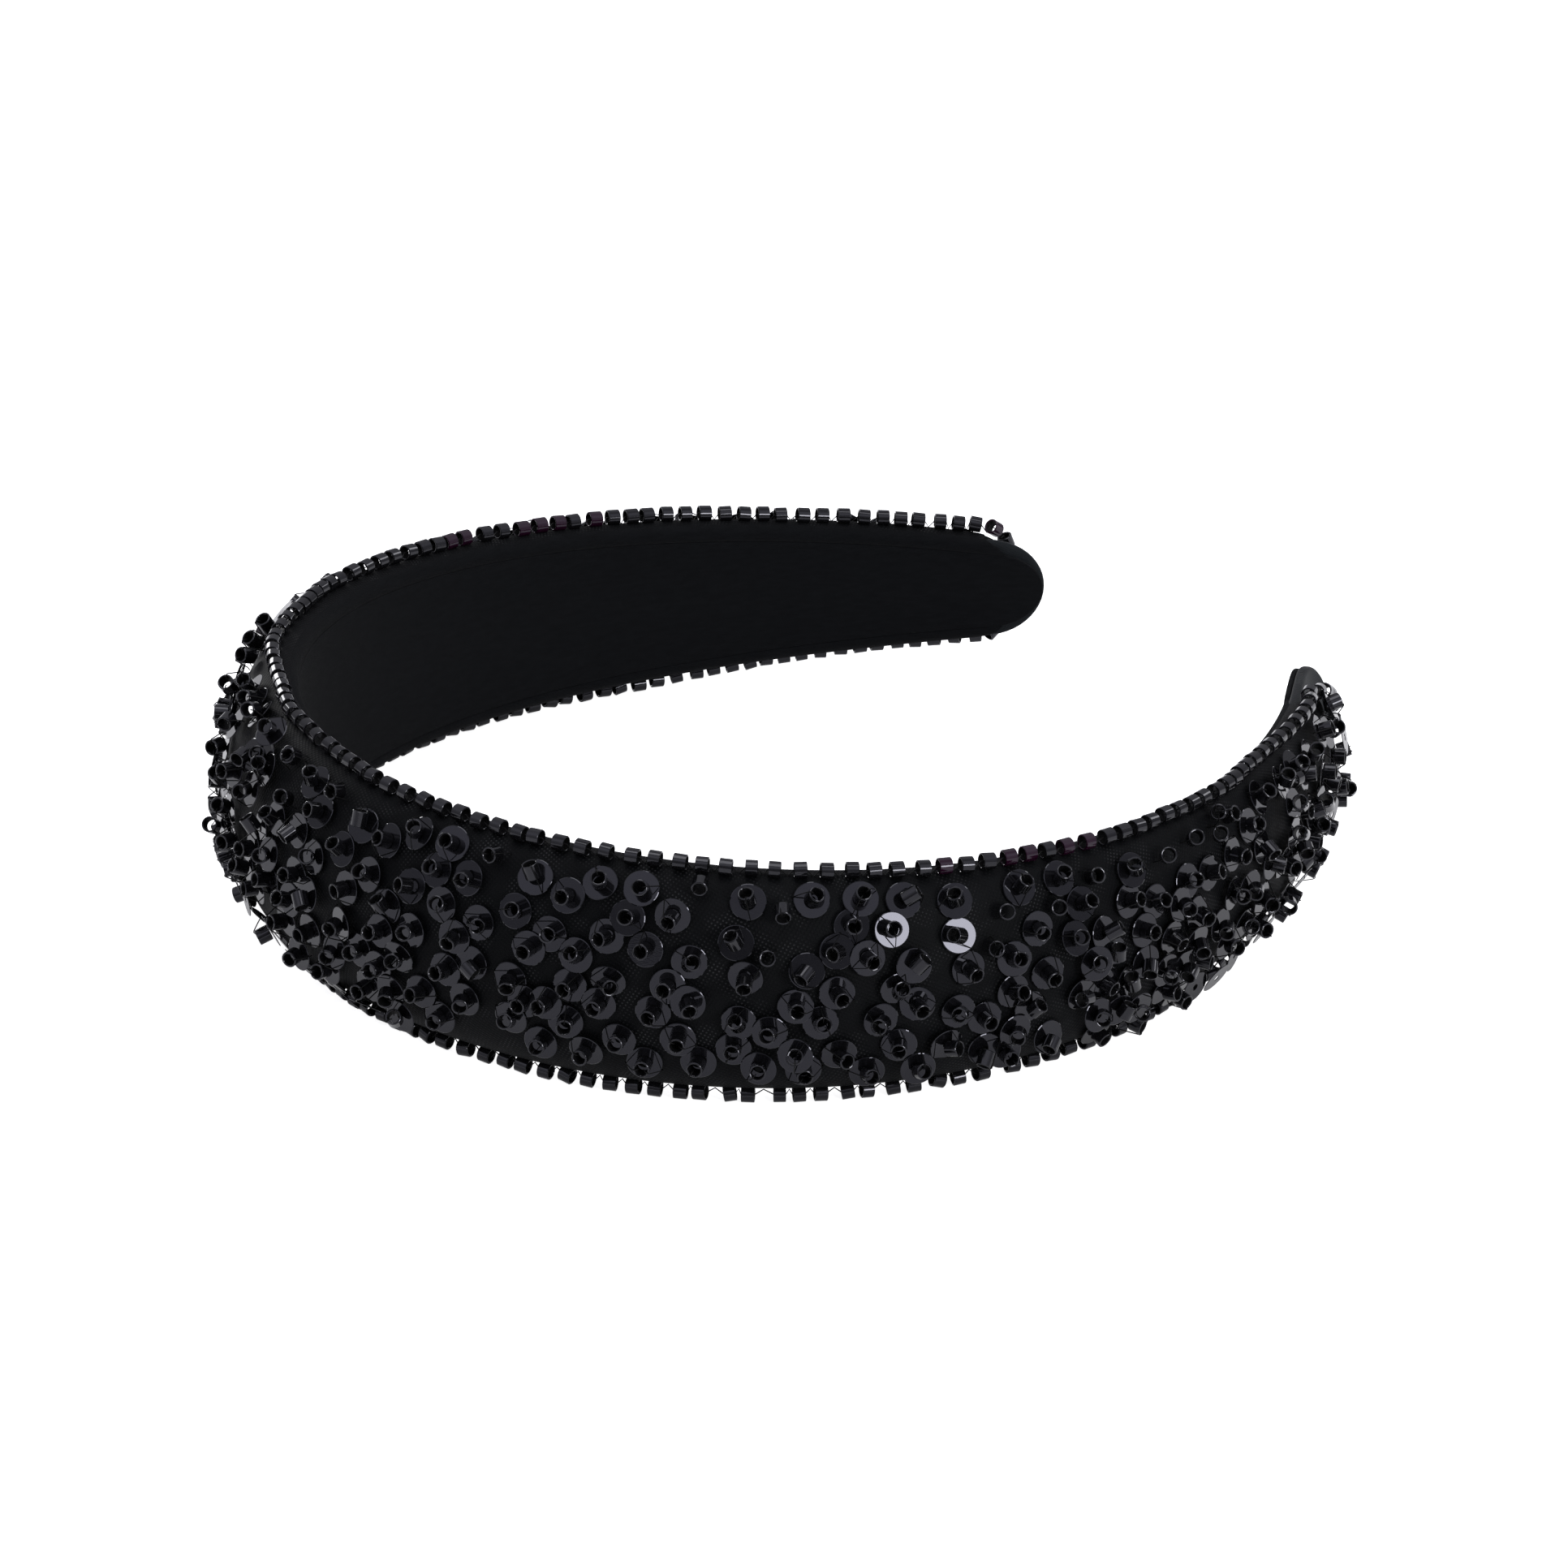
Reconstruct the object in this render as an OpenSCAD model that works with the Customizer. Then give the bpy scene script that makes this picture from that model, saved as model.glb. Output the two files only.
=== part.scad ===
// Padded headband lying on its long edge: crown towards -Y, open end towards +Y.
// Every piece follows the edge line, where the cover folds over the hoop: s runs along it from
// the crown, u is the distance outward from it, and v is the height above its middle plane.

/* [Band] */
// Length of the edge line from the crown to one tip
half_len = 195; // [160:1:225]
// Radius of the bend at the crown
crown_r = 75; // [64:1:90]
// Width of the band at the crown
crown_w = 31.7; // [26:0.1:40]
// Width of the band where it would end at the tips
tip_w = 14.1; // [12:0.1:18]
// How late the band narrows towards the tips, as an exponent
taper = 2.2; // [1.6:0.1:3]

/* [Hoop] */
// Thickness of the cloth-covered hoop
hoop_t = 1.5; // [1.2:0.1:2.4]
// Depth of the hoop's outer face inside the edge line
hoop_depth = 0.9; // [0.7:0.1:1.4]
// Length of the round end of each tongue
tongue_round = 8; // [5:0.5:10]

/* [Lining] */
// Thickness of the velvet lining
lining_t = 0.7; // [0.5:0.1:1.2]
// Distance from the hoop's long edge to the lining's edge
lining_inset = 1.9; // [1.4:0.1:2.8]

/* [Padding] */
// Height of the padded cover outside the edge line at the crown
pad_crown = 8.3; // [5:0.1:12]
// Height of the padded cover at the ends
pad_tip = 2.4; // [2:0.1:4]
// Mean bare length of the tongues, from the cover's end to the tip
tongue_bare = 8.8; // [8:0.2:14]
// Distance by which the cover sits off the middle of the hoop
pad_shift = -3.5; // [-4:0.5:4]
// Thickness of the cover where it wraps round the hoop's long edge
wrap_t = 0.5; // [0.4:0.1:1]
// Thickness of the cover's hem on the inner side
hem_t = 0.5; // [0.4:0.1:0.8]
// Length over which the cover rounds down to its end
end_round = 3; // [2:0.5:5]

/* [Edging] */
// Diameter of the beaded edging
bead_d = 2.2; // [1.8:0.1:2.8]
// Depth to which the edging sinks into the fold of the cover
bead_sink = 0.5; // [0.3:0.1:0.8]

/* [Sequins] */
// Diameter of a sequin
sequin_d = 4.8; // [4.2:0.1:6]
// Diameter of the hole in a sequin
sequin_hole_d = 1; // [0.8:0.1:1.4]
// Thickness of a sequin
sequin_t = 0.25; // [0.2:0.05:0.4]
// Mean gap between neighbouring sequins
sequin_gap = 2.15; // [1.8:0.05:3]
// Bare strip of cover along the beaded edging
sequin_margin = 1.1; // [0.8:0.1:2]
// Seed of the sequins' scatter
scatter_seed = 7; // [1:1:99]

/* [Fit] */
// Gap between neighbouring pieces
fit_gap = 0.1; // [0.1:0.05:0.2]

/* [Hidden] */

// Bend of the edge line: share of half_len, and curvature as a share of the crown's
BEND = [
    [0.0, 1.00],
    [0.2, 1.16],
    [0.4, 1.25],
    [0.6, 0.87],
    [0.8, 0.50],
    [1.0, 0.62]
];

// Round end of a tongue: angles of its sections
TONGUE_ANGLES = [0, 18, 36, 54, 69, 80];
// Rounding of the cover's end: angles of its sections
END_ANGLES = [0, 30, 55, 78];
// Corner of the beaded edging: angles of its rings
CORNER_ANGLES = [0, 30, 60, 90];

spine_steps = 130;
pad_sections = 56;
crown_sides = 16;
edging_rings = 27;
edging_sides = 8;

spine_step = half_len / spine_steps;
pad_end = half_len - tongue_bare;
pad_end_height_share = 0.5;
pad_end_width_share = 0.55;
tongue_start = half_len - tongue_round;
least_step = tongue_round / 8;
hoop_chamfer = hoop_t / 4;
lining_chamfer = lining_t / 4;
hoop_inner = -hoop_depth - hoop_t;
hem_w = lining_inset - 2 * fit_gap;
hem_rise = 1.5 * wrap_t;
hem_corner = 0.4 * wrap_t;
hem_flat = 1.1 * wrap_t;
edging_r = bead_d / 2;
edging_out = edging_r + fit_gap - hoop_depth;
edging_turn = edging_r - bead_sink;
sequin_r = sequin_d / 2;
sequin_pitch = sequin_d + sequin_gap;
sequin_lift = 0.6 * sequin_t;
sequin_clear = 0.8 * sequin_t;
scatter = (sequin_gap - sequin_clear) / 2;
row_pitch = sequin_pitch * sqrt(3) / 2;
mass_height_share = 1 / 3;

// Points of the edge line from the crown to just past a tip: x, y and heading
SPINE = [
    for (
        i = 0, turn = 0, x = 0, y = 0, heading = 0;
        i <= spine_steps;
        turn = lookup((i + 0.5) / spine_steps, BEND) / crown_r * spine_step * 180 / PI,
        x = x + spine_step * cos(heading + turn / 2),
        y = y + spine_step * sin(heading + turn / 2),
        heading = heading + turn,
        i = i + 1
    )
    [x, y, heading]
];

// Edge line at s, either side of the crown: x, y and heading
function spine(s) =
    let (f = abs(s) / spine_step)
    let (i = min(floor(f), spine_steps - 1))
    let (p = SPINE[i] + (f - i) * (SPINE[i + 1] - SPINE[i]))
    [sign(s) * p[0], p[1], sign(s) * p[2]];

// Outward direction of the band at s
function outward(s) = let (a = spine(s)[2]) [sin(a), -cos(a), 0];

// Direction of the edge line at s
function along(s) = let (a = spine(s)[2]) [cos(a), sin(a), 0];

// Point of the band at s, a distance u outward and a height v
function place(s, u, v) = let (p = spine(s)) [p[0], p[1], v] + u * outward(s);

// Half width between the edge lines at s
function half_w(s) = crown_w / 2 - (crown_w - tip_w) / 2 * pow(abs(s) / half_len, taper);

// Height of the padded cover at s, before its end is rounded
function pad_h(s) = pad_crown - (pad_crown - pad_tip) * pow(s / half_len, 2);

// Half width of the hoop at s, up to the round ends
function hoop_w(s) = half_w(s) - wrap_t - fit_gap;

// Point of the cover's outer face at s and at an angle round its section
function cover(s, t) = place(s, pad_h(s) * sin(t), half_w(s) * cos(t));

// Outward normal of the cover at s and t
function cover_normal(s, t) =
    let (d = least_step)
    let (n = cross(cover(s, t + 1) - cover(s, t - 1), cover(s + d, t) - cover(s - d, t)))
    n / norm(n);

// Places of the sections along the cover, which the strips under it share
COVER_RUN = [for (i = [0:pad_sections]) pad_end * (2 * i / pad_sections - 1) + pad_shift];

// Sections of a strip with round ends: s and half width, from tip to tip
function strip_sections(inset) =
    let (w = hoop_w(tongue_start) - inset, r = tongue_round - inset)
    [
        for (i = [len(TONGUE_ANGLES) - 1:-1:1])
            [-tongue_start - r * sin(TONGUE_ANGLES[i]), w * cos(TONGUE_ANGLES[i])],
        [-tongue_start, w],
        for (s = COVER_RUN)
            if (abs(s) < tongue_start - least_step)
                [s, hoop_w(s) - inset],
        [tongue_start, w],
        for (i = [1:len(TONGUE_ANGLES) - 1])
            [tongue_start + r * sin(TONGUE_ANGLES[i]), w * cos(TONGUE_ANGLES[i])]
    ];

// Ring of a strip between two depths, with its long edges chamfered
function strip_ring(section, outer, inner, chamfer) =
    let (s = section[0], w = section[1], c = min(chamfer, w / 2))
    [
        place(s, outer, w - c),
        place(s, outer, c - w),
        place(s, outer - chamfer, -w),
        place(s, inner + chamfer, -w),
        place(s, inner, c - w),
        place(s, inner, w - c),
        place(s, inner + chamfer, w),
        place(s, outer - chamfer, w)
    ];

// Sections of the padded cover: s, share of its height and share of the wrap that is left
PAD_SECTIONS = [
    for (i = [len(END_ANGLES) - 1:-1:1])
        pad_end_section(-1, END_ANGLES[i]),
    for (s = COVER_RUN)
        if (abs(s - pad_shift) < pad_end - end_round - least_step)
            [s, 1, 1],
    for (i = [1:len(END_ANGLES) - 1])
        pad_end_section(1, END_ANGLES[i])
];

function pad_end_section(side, a) = [
    side * (pad_end - end_round * (1 - sin(a))) + pad_shift,
    pad_end_height_share + (1 - pad_end_height_share) * cos(a),
    pad_end_width_share + (1 - pad_end_width_share) * cos(a)
];

// Ring of the padded cover: over the crown, round one edge, along the hoop and back
function pad_ring(section) =
    let (s = section[0], h = pad_h(s) * section[1])
    let (w = half_w(s) - wrap_t * (1 - section[2]), inner = half_w(s) - wrap_t)
    let (hem = hoop_inner - fit_gap - hem_t, mouth = inner - hem_w)
    [
        for (i = [0:crown_sides])
            place(s, h * sin(180 * i / crown_sides), w * cos(180 * i / crown_sides)),
        for (side = [-1, 1])
            each turned(side, [
                place(s, hem + hem_rise, side * w),
                place(s, hem + hem_corner, side * (w - hem_corner)),
                place(s, hem, side * (w - hem_flat)),
                place(s, hem, side * mouth),
                place(s, hem + hem_t, side * mouth),
                place(s, hem + hem_t, side * inner),
                place(s, fit_gap - hoop_depth, side * inner)
            ])
    ];

// List in its own order on the lower side and backwards on the upper one
function turned(side, list) =
    side < 0 ? list : [for (i = [len(list) - 1:-1:0]) list[i]];

// Path of the edging on the upper half: s, v and direction, from one end to the other
function edging_path() = [
    edging_across(-1, fit_gap),
    edging_across(-1, half_w(pad_end) / 2),
    for (i = [len(CORNER_ANGLES) - 1:-1:0])
        edging_corner(-1, CORNER_ANGLES[i]),
    for (i = [1:edging_rings - 1])
        let (s = pad_end * (2 * i / edging_rings - 1) + pad_shift)
        [s, half_w(s) + edging_turn, 0],
    for (a = CORNER_ANGLES)
        edging_corner(1, a),
    edging_across(1, half_w(pad_end) / 2),
    edging_across(1, fit_gap)
];

// Steps of the edging's path at either end: across the band, and round the cover's corner
function edging_across(end, v) = [end * (pad_end + edging_turn) + pad_shift, v, -end * 90];
function edging_corner(end, a) = [
    end * (pad_end + edging_turn * sin(a)) + pad_shift,
    half_w(end * pad_end + pad_shift) + edging_turn * cos(a),
    -end * a
];

// Ring of the edging across its path, flat where it meets the cover, on the upper or lower side
function edging_ring(step, side) =
    let (s = step[0], v = step[1], a = step[2])
    let (across = -sin(a) * along(s) + [0, 0, side * cos(a)])
    [
        for (i = [0:edging_sides - 1])
            let (b = 360 * i / edging_sides)
            let (rise = max(-side * edging_r * sin(b), fit_gap - edging_turn))
            place(s, edging_out, side * v) + edging_r * cos(b) * outward(s) + rise * across
    ];

HOOP_RINGS = [
    for (section = strip_sections(0))
        strip_ring(section, -hoop_depth, hoop_inner, hoop_chamfer)
];
LINING_RINGS = [
    for (section = strip_sections(lining_inset))
        strip_ring(section, hoop_inner - fit_gap, hoop_inner - fit_gap - lining_t, lining_chamfer)
];
PAD_RINGS = [for (section = PAD_SECTIONS) pad_ring(section)];
UPPER_RINGS = [for (step = edging_path()) edging_ring(step, 1)];
LOWER_RINGS = [for (step = edging_path()) edging_ring(step, -1)];

// Length round half of the cover's section at s: length from the middle, and angle there
girth_steps = 20;
function girth(s) = [
    for (i = 0, q = 0; i <= girth_steps;
        i = i + 1,
        q = q + norm(cover(s, 90 - 90 * i / girth_steps) - cover(s, 90 - 90 * (i - 1) / girth_steps))
    )
    [q, 90 * i / girth_steps]
];

// Columns of sequins across the band, and the room that each one's scatter may take
column_count = floor((pad_end - sequin_margin - sequin_r) / row_pitch);
half_rows = ceil(crown_w / sequin_pitch);
scatter_count = (2 * column_count + 1) * (2 * half_rows + 2) * 2;
SCATTER = rands(-1, 1, scatter_count, scatter_seed);

// Places of the sequins: s and angle round the section
SEQUIN_PLACES = [
    for (column = [-column_count:column_count])
        let (middle = column * row_pitch + pad_shift, rounds = girth(middle))
        let (reach = rounds[girth_steps][0] - sequin_margin - sequin_r)
        let (shift = column % 2 == 0 ? 0 : 0.5)
        for (row = [-half_rows:half_rows])
            let (k = 2 * ((column + column_count) * (2 * half_rows + 2) + row + half_rows))
            let (push = scatter * SCATTER[k], spin = 180 * SCATTER[k + 1])
            let (q = (row + shift) * sequin_pitch + push * sin(spin))
            if (abs(q) <= reach)
                [middle + push * cos(spin), 90 - sign(q) * lookup(abs(q), rounds)]
];

// Tilt at which the band rests: its lower edge rolls until it touches below the mass
WEIGHTS = [for (section = PAD_SECTIONS) half_w(section[0]) * (pad_h(section[0]) + hoop_t + lining_t)];
MOMENTS = [
    for (i = [0:len(PAD_SECTIONS) - 1])
        let (s = PAD_SECTIONS[i][0])
        WEIGHTS[i] * place(s, pad_h(s) * mass_height_share, 0)[1]
];
function total(list) = list * [for (i = list) 1];
mass_y = total(MOMENTS) / total(WEIGHTS);
rest_s = lookup(mass_y, [for (i = [0:spine_steps]) [SPINE[i][1], i * spine_step]]);
rest_drop = half_w(rest_s - spine_step) - half_w(rest_s + spine_step);
rest_run = spine(rest_s + spine_step)[1] - spine(rest_s - spine_step)[1];
rest_tilt = atan(rest_drop / rest_run);

// Height and position that stand the tilted band on the ground, centred on the origin
function tilted(p) = [
    p[0],
    p[1] * cos(rest_tilt) + p[2] * sin(rest_tilt),
    p[2] * cos(rest_tilt) - p[1] * sin(rest_tilt)
];
rest_lift = -min([for (ring = LOWER_RINGS) for (p = ring) tilted(p)[2]]);
back_y = max([for (ring = HOOP_RINGS) for (p = ring) tilted(p)[1]]);
front_y = min([for (ring = PAD_RINGS) for (p = ring) tilted(p)[1]]) - sequin_lift - sequin_t;

// Stands the band on the ground as it rests by itself
module rest() {
    translate([0, -(front_y + back_y) / 2, rest_lift])
        rotate([-rest_tilt, 0, 0])
            children();
}

// Closed solid through rings that hold the same number of points
module skin(rings) {
    n = len(rings[0]);
    last = len(rings) - 1;
    polyhedron(
        points = [for (ring = rings) each ring],
        faces = [
            [for (i = [0:n - 1]) i],
            [for (i = [n - 1:-1:0]) last * n + i],
            for (j = [0:last - 1])
                for (i = [0:n - 1])
                    each [
                        [j * n + i, (j + 1) * n + (i + 1) % n, j * n + (i + 1) % n],
                        [j * n + i, (j + 1) * n + i, (j + 1) * n + (i + 1) % n]
                    ]
        ],
        convexity = 6
    );
}

// One sequin, lying flat
module sequin() {
    linear_extrude(sequin_t)
        difference() {
            circle(d = sequin_d, $fn = 32);
            circle(d = sequin_hole_d, $fn = 32);
        }
}

// Cloth-covered hoop with its bare round tongues
module hoop() {
    color([0.10, 0.11, 0.12])
        rest()
            skin(HOOP_RINGS);
}

// Velvet lining of the inner face
module lining() {
    color([0.04, 0.04, 0.05])
        rest()
            skin(LINING_RINGS);
}

// Padded cover, crowned outside and hemmed round the hoop
module padding() {
    color([0.07, 0.07, 0.08])
        rest()
            skin(PAD_RINGS);
}

// Beaded edging of the upper long edge
module edging_upper() {
    color([0.16, 0.16, 0.19])
        rest()
            skin(UPPER_RINGS);
}

// Beaded edging of the lower long edge
module edging_lower() {
    color([0.16, 0.16, 0.19])
        rest()
            skin(LOWER_RINGS);
}

// Sequins scattered over the cover
module sequins() {
    color([0.25, 0.25, 0.30])
        rest()
            for (p = SEQUIN_PLACES)
                let (n = cover_normal(p[0], p[1]))
                translate(cover(p[0], p[1]) + sequin_lift * n)
                    rotate([0, acos(n[2]), atan2(n[1], n[0])])
                        sequin();
}

hoop();
lining();
padding();
edging_upper();
edging_lower();
sequins();
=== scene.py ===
import math

import bmesh
import bpy
import numpy as np
from mathutils import Matrix, Vector
from mathutils.kdtree import KDTree


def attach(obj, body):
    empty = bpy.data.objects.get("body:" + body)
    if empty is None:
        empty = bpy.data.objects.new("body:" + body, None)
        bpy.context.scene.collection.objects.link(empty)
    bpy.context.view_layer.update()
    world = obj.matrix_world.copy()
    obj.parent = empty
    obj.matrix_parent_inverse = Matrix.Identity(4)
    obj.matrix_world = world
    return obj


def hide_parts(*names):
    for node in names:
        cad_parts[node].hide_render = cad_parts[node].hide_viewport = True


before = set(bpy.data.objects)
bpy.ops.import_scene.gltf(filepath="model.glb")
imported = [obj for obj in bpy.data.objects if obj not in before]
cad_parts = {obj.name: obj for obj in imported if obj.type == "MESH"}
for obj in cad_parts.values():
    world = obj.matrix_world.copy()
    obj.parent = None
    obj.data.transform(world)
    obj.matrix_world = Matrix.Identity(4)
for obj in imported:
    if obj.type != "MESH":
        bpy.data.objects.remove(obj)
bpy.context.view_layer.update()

# Sizes of the band, in millimetres, as in the CAD source: s runs along the edge line from the
# crown, u is the distance outward from it and v the height above its middle plane. The angle t
# goes round the cover's section from the upper edge to the lower one. Only the padding's height
# is less than there, so that the beads on it reach no further out than in the photograph.
MM = 0.001
HALF_LEN = 195.0
CROWN_R = 75.0
CROWN_W = 31.7
TIP_W = 14.1
TAPER = 2.2
PAD_CROWN = 7.4
PAD_TIP = 1.8
PAD_POWER = 1.6
PAD_END = 186.2
PAD_SHIFT = -3.5
END_ROUND = 3.0
WRAP = 0.5
HOOP_OUTER = -0.9
HOOP_INNER = -2.4
TONGUE_ROUND = 8.0
HEM_INSET = 1.6
LINING_INNER = -3.2
GAP = 0.1
BEAD_R = 1.1
SEQUIN_R = 2.4
SEQUIN_HOLE_R = 0.5
SEQUIN_MARGIN = 1.1
BEND_AT = [0.0, 0.2, 0.4, 0.6, 0.8, 0.95, 0.96, 1.0]
BEND = [1.00, 1.16, 1.25, 0.87, 0.50, 0.59, -2.2, -2.2]
REST_TILT = math.radians(2.16668)
REST_Y = -67.7637
REST_Z = 17.8728

# Sizes that the CAD model leaves out: how far the cover's corners stay behind the middle of its
# ends, how the nearer limb leans and spreads towards its tip, and what is sewn on
CORNER_BACK = {-1: 3.0, 1: 11.0}
CORNER_POWER = 6
CORNER_RUN = 24.0
LIMB_LEAN = math.radians(9)
LIMB_LEAN_AT = [118.0, 180.0]
TONGUE_OUT = 1.1
TONGUE_OUT_AT = [183.0, 195.0]
LINING_SPREAD = 0.35
HEM_GAP = 0.05
BEAD_HOLE_R = 0.84
BEAD_LENGTH = 2.1
SEQUIN_HALF_T = 0.06
DISC_GAP = 0.15
THREAD_R = 0.08


# The band's edge line and surfaces


def edge_line(step=0.25):
    """s, x, y and heading of points from the crown to just past a tip."""
    s = np.arange(0, HALF_LEN + 6, step)
    turn = np.interp((s + step / 2) / HALF_LEN, BEND_AT, BEND) / CROWN_R * step
    heading = np.concatenate([[0], np.cumsum(turn)[:-1]])
    middle = heading + turn / 2
    x = np.concatenate([[0], np.cumsum(step * np.cos(middle))[:-1]])
    y = np.concatenate([[0], np.cumsum(step * np.sin(middle))[:-1]])
    return s, x, y, heading


LINE_S, LINE_X, LINE_Y, LINE_HEADING = edge_line()


def heading(s):
    return np.sign(s) * np.interp(np.abs(s), LINE_S, LINE_HEADING)


def place(s, u, v):
    """Points of the band, an array of three columns."""
    s, u, v = np.broadcast_arrays(*[np.asarray(a, float) for a in (s, u, v)])
    u = u - v * math.tan(LIMB_LEAN) * np.interp(s, LIMB_LEAN_AT, [0, 1]) ** 2
    u = u + TONGUE_OUT * np.interp(s, TONGUE_OUT_AT, [0, 1]) ** 2
    a = heading(s)
    x = np.sign(s) * np.interp(np.abs(s), LINE_S, LINE_X) + u * np.sin(a)
    y = np.interp(np.abs(s), LINE_S, LINE_Y) - u * np.cos(a)
    return np.stack([x, y, v], -1)


def half_w(s):
    """Half the width of the band with its cover."""
    return CROWN_W / 2 - (CROWN_W - TIP_W) / 2 * (np.abs(s) / HALF_LEN) ** TAPER


def pad_h(s):
    """Height of the padded cover over the edge line."""
    return PAD_CROWN - (PAD_CROWN - PAD_TIP) * (np.abs(s) / HALF_LEN) ** PAD_POWER


def hoop_w(s):
    """Half the width of the hoop inside the cover."""
    return half_w(s) - WRAP - GAP


def cover(s, t):
    """Points of the padded cover's outer face."""
    return place(s, pad_h(s) * np.sin(t), half_w(s) * np.cos(t))


def held_back(s, side):
    """How far the cover's corners stay behind, at s and at a share of its half width."""
    end = np.where(s < PAD_SHIFT, -1, 1)
    back = np.where(end < 0, CORNER_BACK[-1], CORNER_BACK[1])
    near = (1 - (PAD_END - np.abs(s - PAD_SHIFT)) / CORNER_RUN).clip(0, 1)
    return -end * back * near ** 2 * np.abs(side) ** CORNER_POWER


def unit(a):
    return a / np.linalg.norm(a, axis=-1, keepdims=True)


def sizes(a):
    return np.linalg.norm(a, axis=-1)


def walked(path):
    """How far along a path each of its points lies."""
    return np.concatenate([[0], np.cumsum(sizes(np.diff(path, axis=0)))])


def cover_normal(s, t, d=0.01):
    """Directions away from the cover's outer face."""
    return unit(np.cross(cover(s, t + d) - cover(s, t - d), cover(s + 1, t) - cover(s - 1, t)))


def edge_normal(s, t, room=0.02):
    """The same, taken a little inside the cover's edges for places on them."""
    return cover_normal(s, t.clip(room, math.pi - room))


COS_REST, SIN_REST = math.cos(REST_TILT), math.sin(REST_TILT)


def turned(p):
    """Directions of the band's frame, in the frame of the room."""
    x, y, z = np.moveaxis(p, -1, 0)
    return np.stack([x, y * COS_REST + z * SIN_REST, z * COS_REST - y * SIN_REST], -1)


def unturned(p):
    """Directions of the room, in the band's frame."""
    x, y, z = np.moveaxis(p, -1, 0)
    return np.stack([x, y * COS_REST - z * SIN_REST, z * COS_REST + y * SIN_REST], -1)


def rest(p):
    """Points of the band as it lies, in metres."""
    return (turned(p) + [0, REST_Y, REST_Z]) * MM


UPWARD = unturned(np.array([0, 0, 1.0]))


def way_to(azimuth, elevation):
    """A direction of the room. Azimuth turns from -Y towards +X, as the camera's."""
    a, e = math.radians(azimuth), math.radians(elevation)
    return Vector((math.sin(a) * math.cos(e), -math.cos(a) * math.cos(e), math.sin(e)))


def linked(name, data):
    """A new object of the scene."""
    made = bpy.data.objects.new(name, data)
    bpy.context.scene.collection.objects.link(made)
    return made


# Camera, and where the light on its right stands, because two sequins are turned to mirror it

LIGHT_RIGHT = (82, 15)
AZIMUTH = math.radians(46.983)
ELEVATION = math.radians(24.384)
ROLL = math.radians(-0.2)
TARGET = np.array([-0.06, 1.28, 13.95]) * MM
DISTANCE = 1.5
LENS = 252.7
SENSOR = 36.0
FRAME_PX = 1932

back = np.array([
    math.sin(AZIMUTH) * math.cos(ELEVATION),
    -math.cos(AZIMUTH) * math.cos(ELEVATION),
    math.sin(ELEVATION),
])
level = np.array([math.cos(AZIMUTH), math.sin(AZIMUTH), 0])
upright = np.cross(back, level)
right = level * math.cos(ROLL) + upright * math.sin(ROLL)
up = upright * math.cos(ROLL) - level * math.sin(ROLL)
eye = TARGET + back * DISTANCE

camera_data = bpy.data.cameras.new("camera")
camera_data.lens = LENS
camera_data.sensor_width = SENSOR
camera_data.clip_start = 0.05
camera_data.clip_end = 50
camera = linked("camera", camera_data)
camera.matrix_world = Matrix([[*row, e] for row, e in zip(np.stack([right, up, back], 1), eye)]
                             + [[0, 0, 0, 1]])
bpy.context.scene.camera = camera


def seen_at(p):
    """Where points of the band fall in the photograph, in its pixels, and their pixels per mm."""
    d = rest(p) - eye
    scale = LENS / SENSOR * FRAME_PX / -(d @ back)
    at = np.stack([FRAME_PX / 2 + d @ right * scale, FRAME_PX / 2 - d @ up * scale], -1)
    return at, scale * MM


# Materials


def material(name, color, roughness, **values):
    """A principled material. Its values go straight onto the shader's sockets."""
    mat = bpy.data.materials.new(name)
    mat.use_nodes = True
    shader = mat.node_tree.nodes["Principled BSDF"]
    shader.inputs["Base Color"].default_value = (*color, 1)
    shader.inputs["Roughness"].default_value = roughness
    for key, value in values.items():
        shader.inputs[key.replace("_", " ")].default_value = value
    return mat


def node(mat, kind, links=(), **values):
    """A node with the given values, and links as {input: (node, output)}."""
    made = mat.node_tree.nodes.new(kind)
    for key, value in values.items():
        if hasattr(made, key):
            setattr(made, key, value)
        else:
            made.inputs[key.replace("_", " ")].default_value = value
    for key, (other, output) in dict(links).items():
        mat.node_tree.links.new(other.outputs[output], made.inputs[key])
    return made


def feed(mat, socket, other, output, into="Principled BSDF"):
    tree = mat.node_tree
    tree.links.new(other.outputs[output], tree.nodes[into].inputs[socket])


def ramp(mat, source, output, stops):
    made = node(mat, "ShaderNodeValToRGB", {"Fac": (source, output)})
    band = made.color_ramp
    for i, (at, color) in enumerate(stops):
        stop = band.elements[i] if i < len(band.elements) else band.elements.new(at)
        stop.position = at
        stop.color = (*color, 1)
    return made


def bumped(mat, source, output, strength, distance):
    bump = node(mat, "ShaderNodeBump", {"Height": (source, output)},
                Strength=strength, Distance=distance)
    feed(mat, "Normal", bump, "Normal")


def spread(mat, source, output, low, high, **values):
    """The source's values, from 0 to 1 unless they are given, spread between low and high."""
    return node(mat, "ShaderNodeMapRange", {"Value": (source, output)}, To_Min=low, To_Max=high,
                **values)


# Distance between the bands of a wave texture at scale 1
WAVE_PITCH = 0.314
RIB_TURN = math.radians(62)


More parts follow.
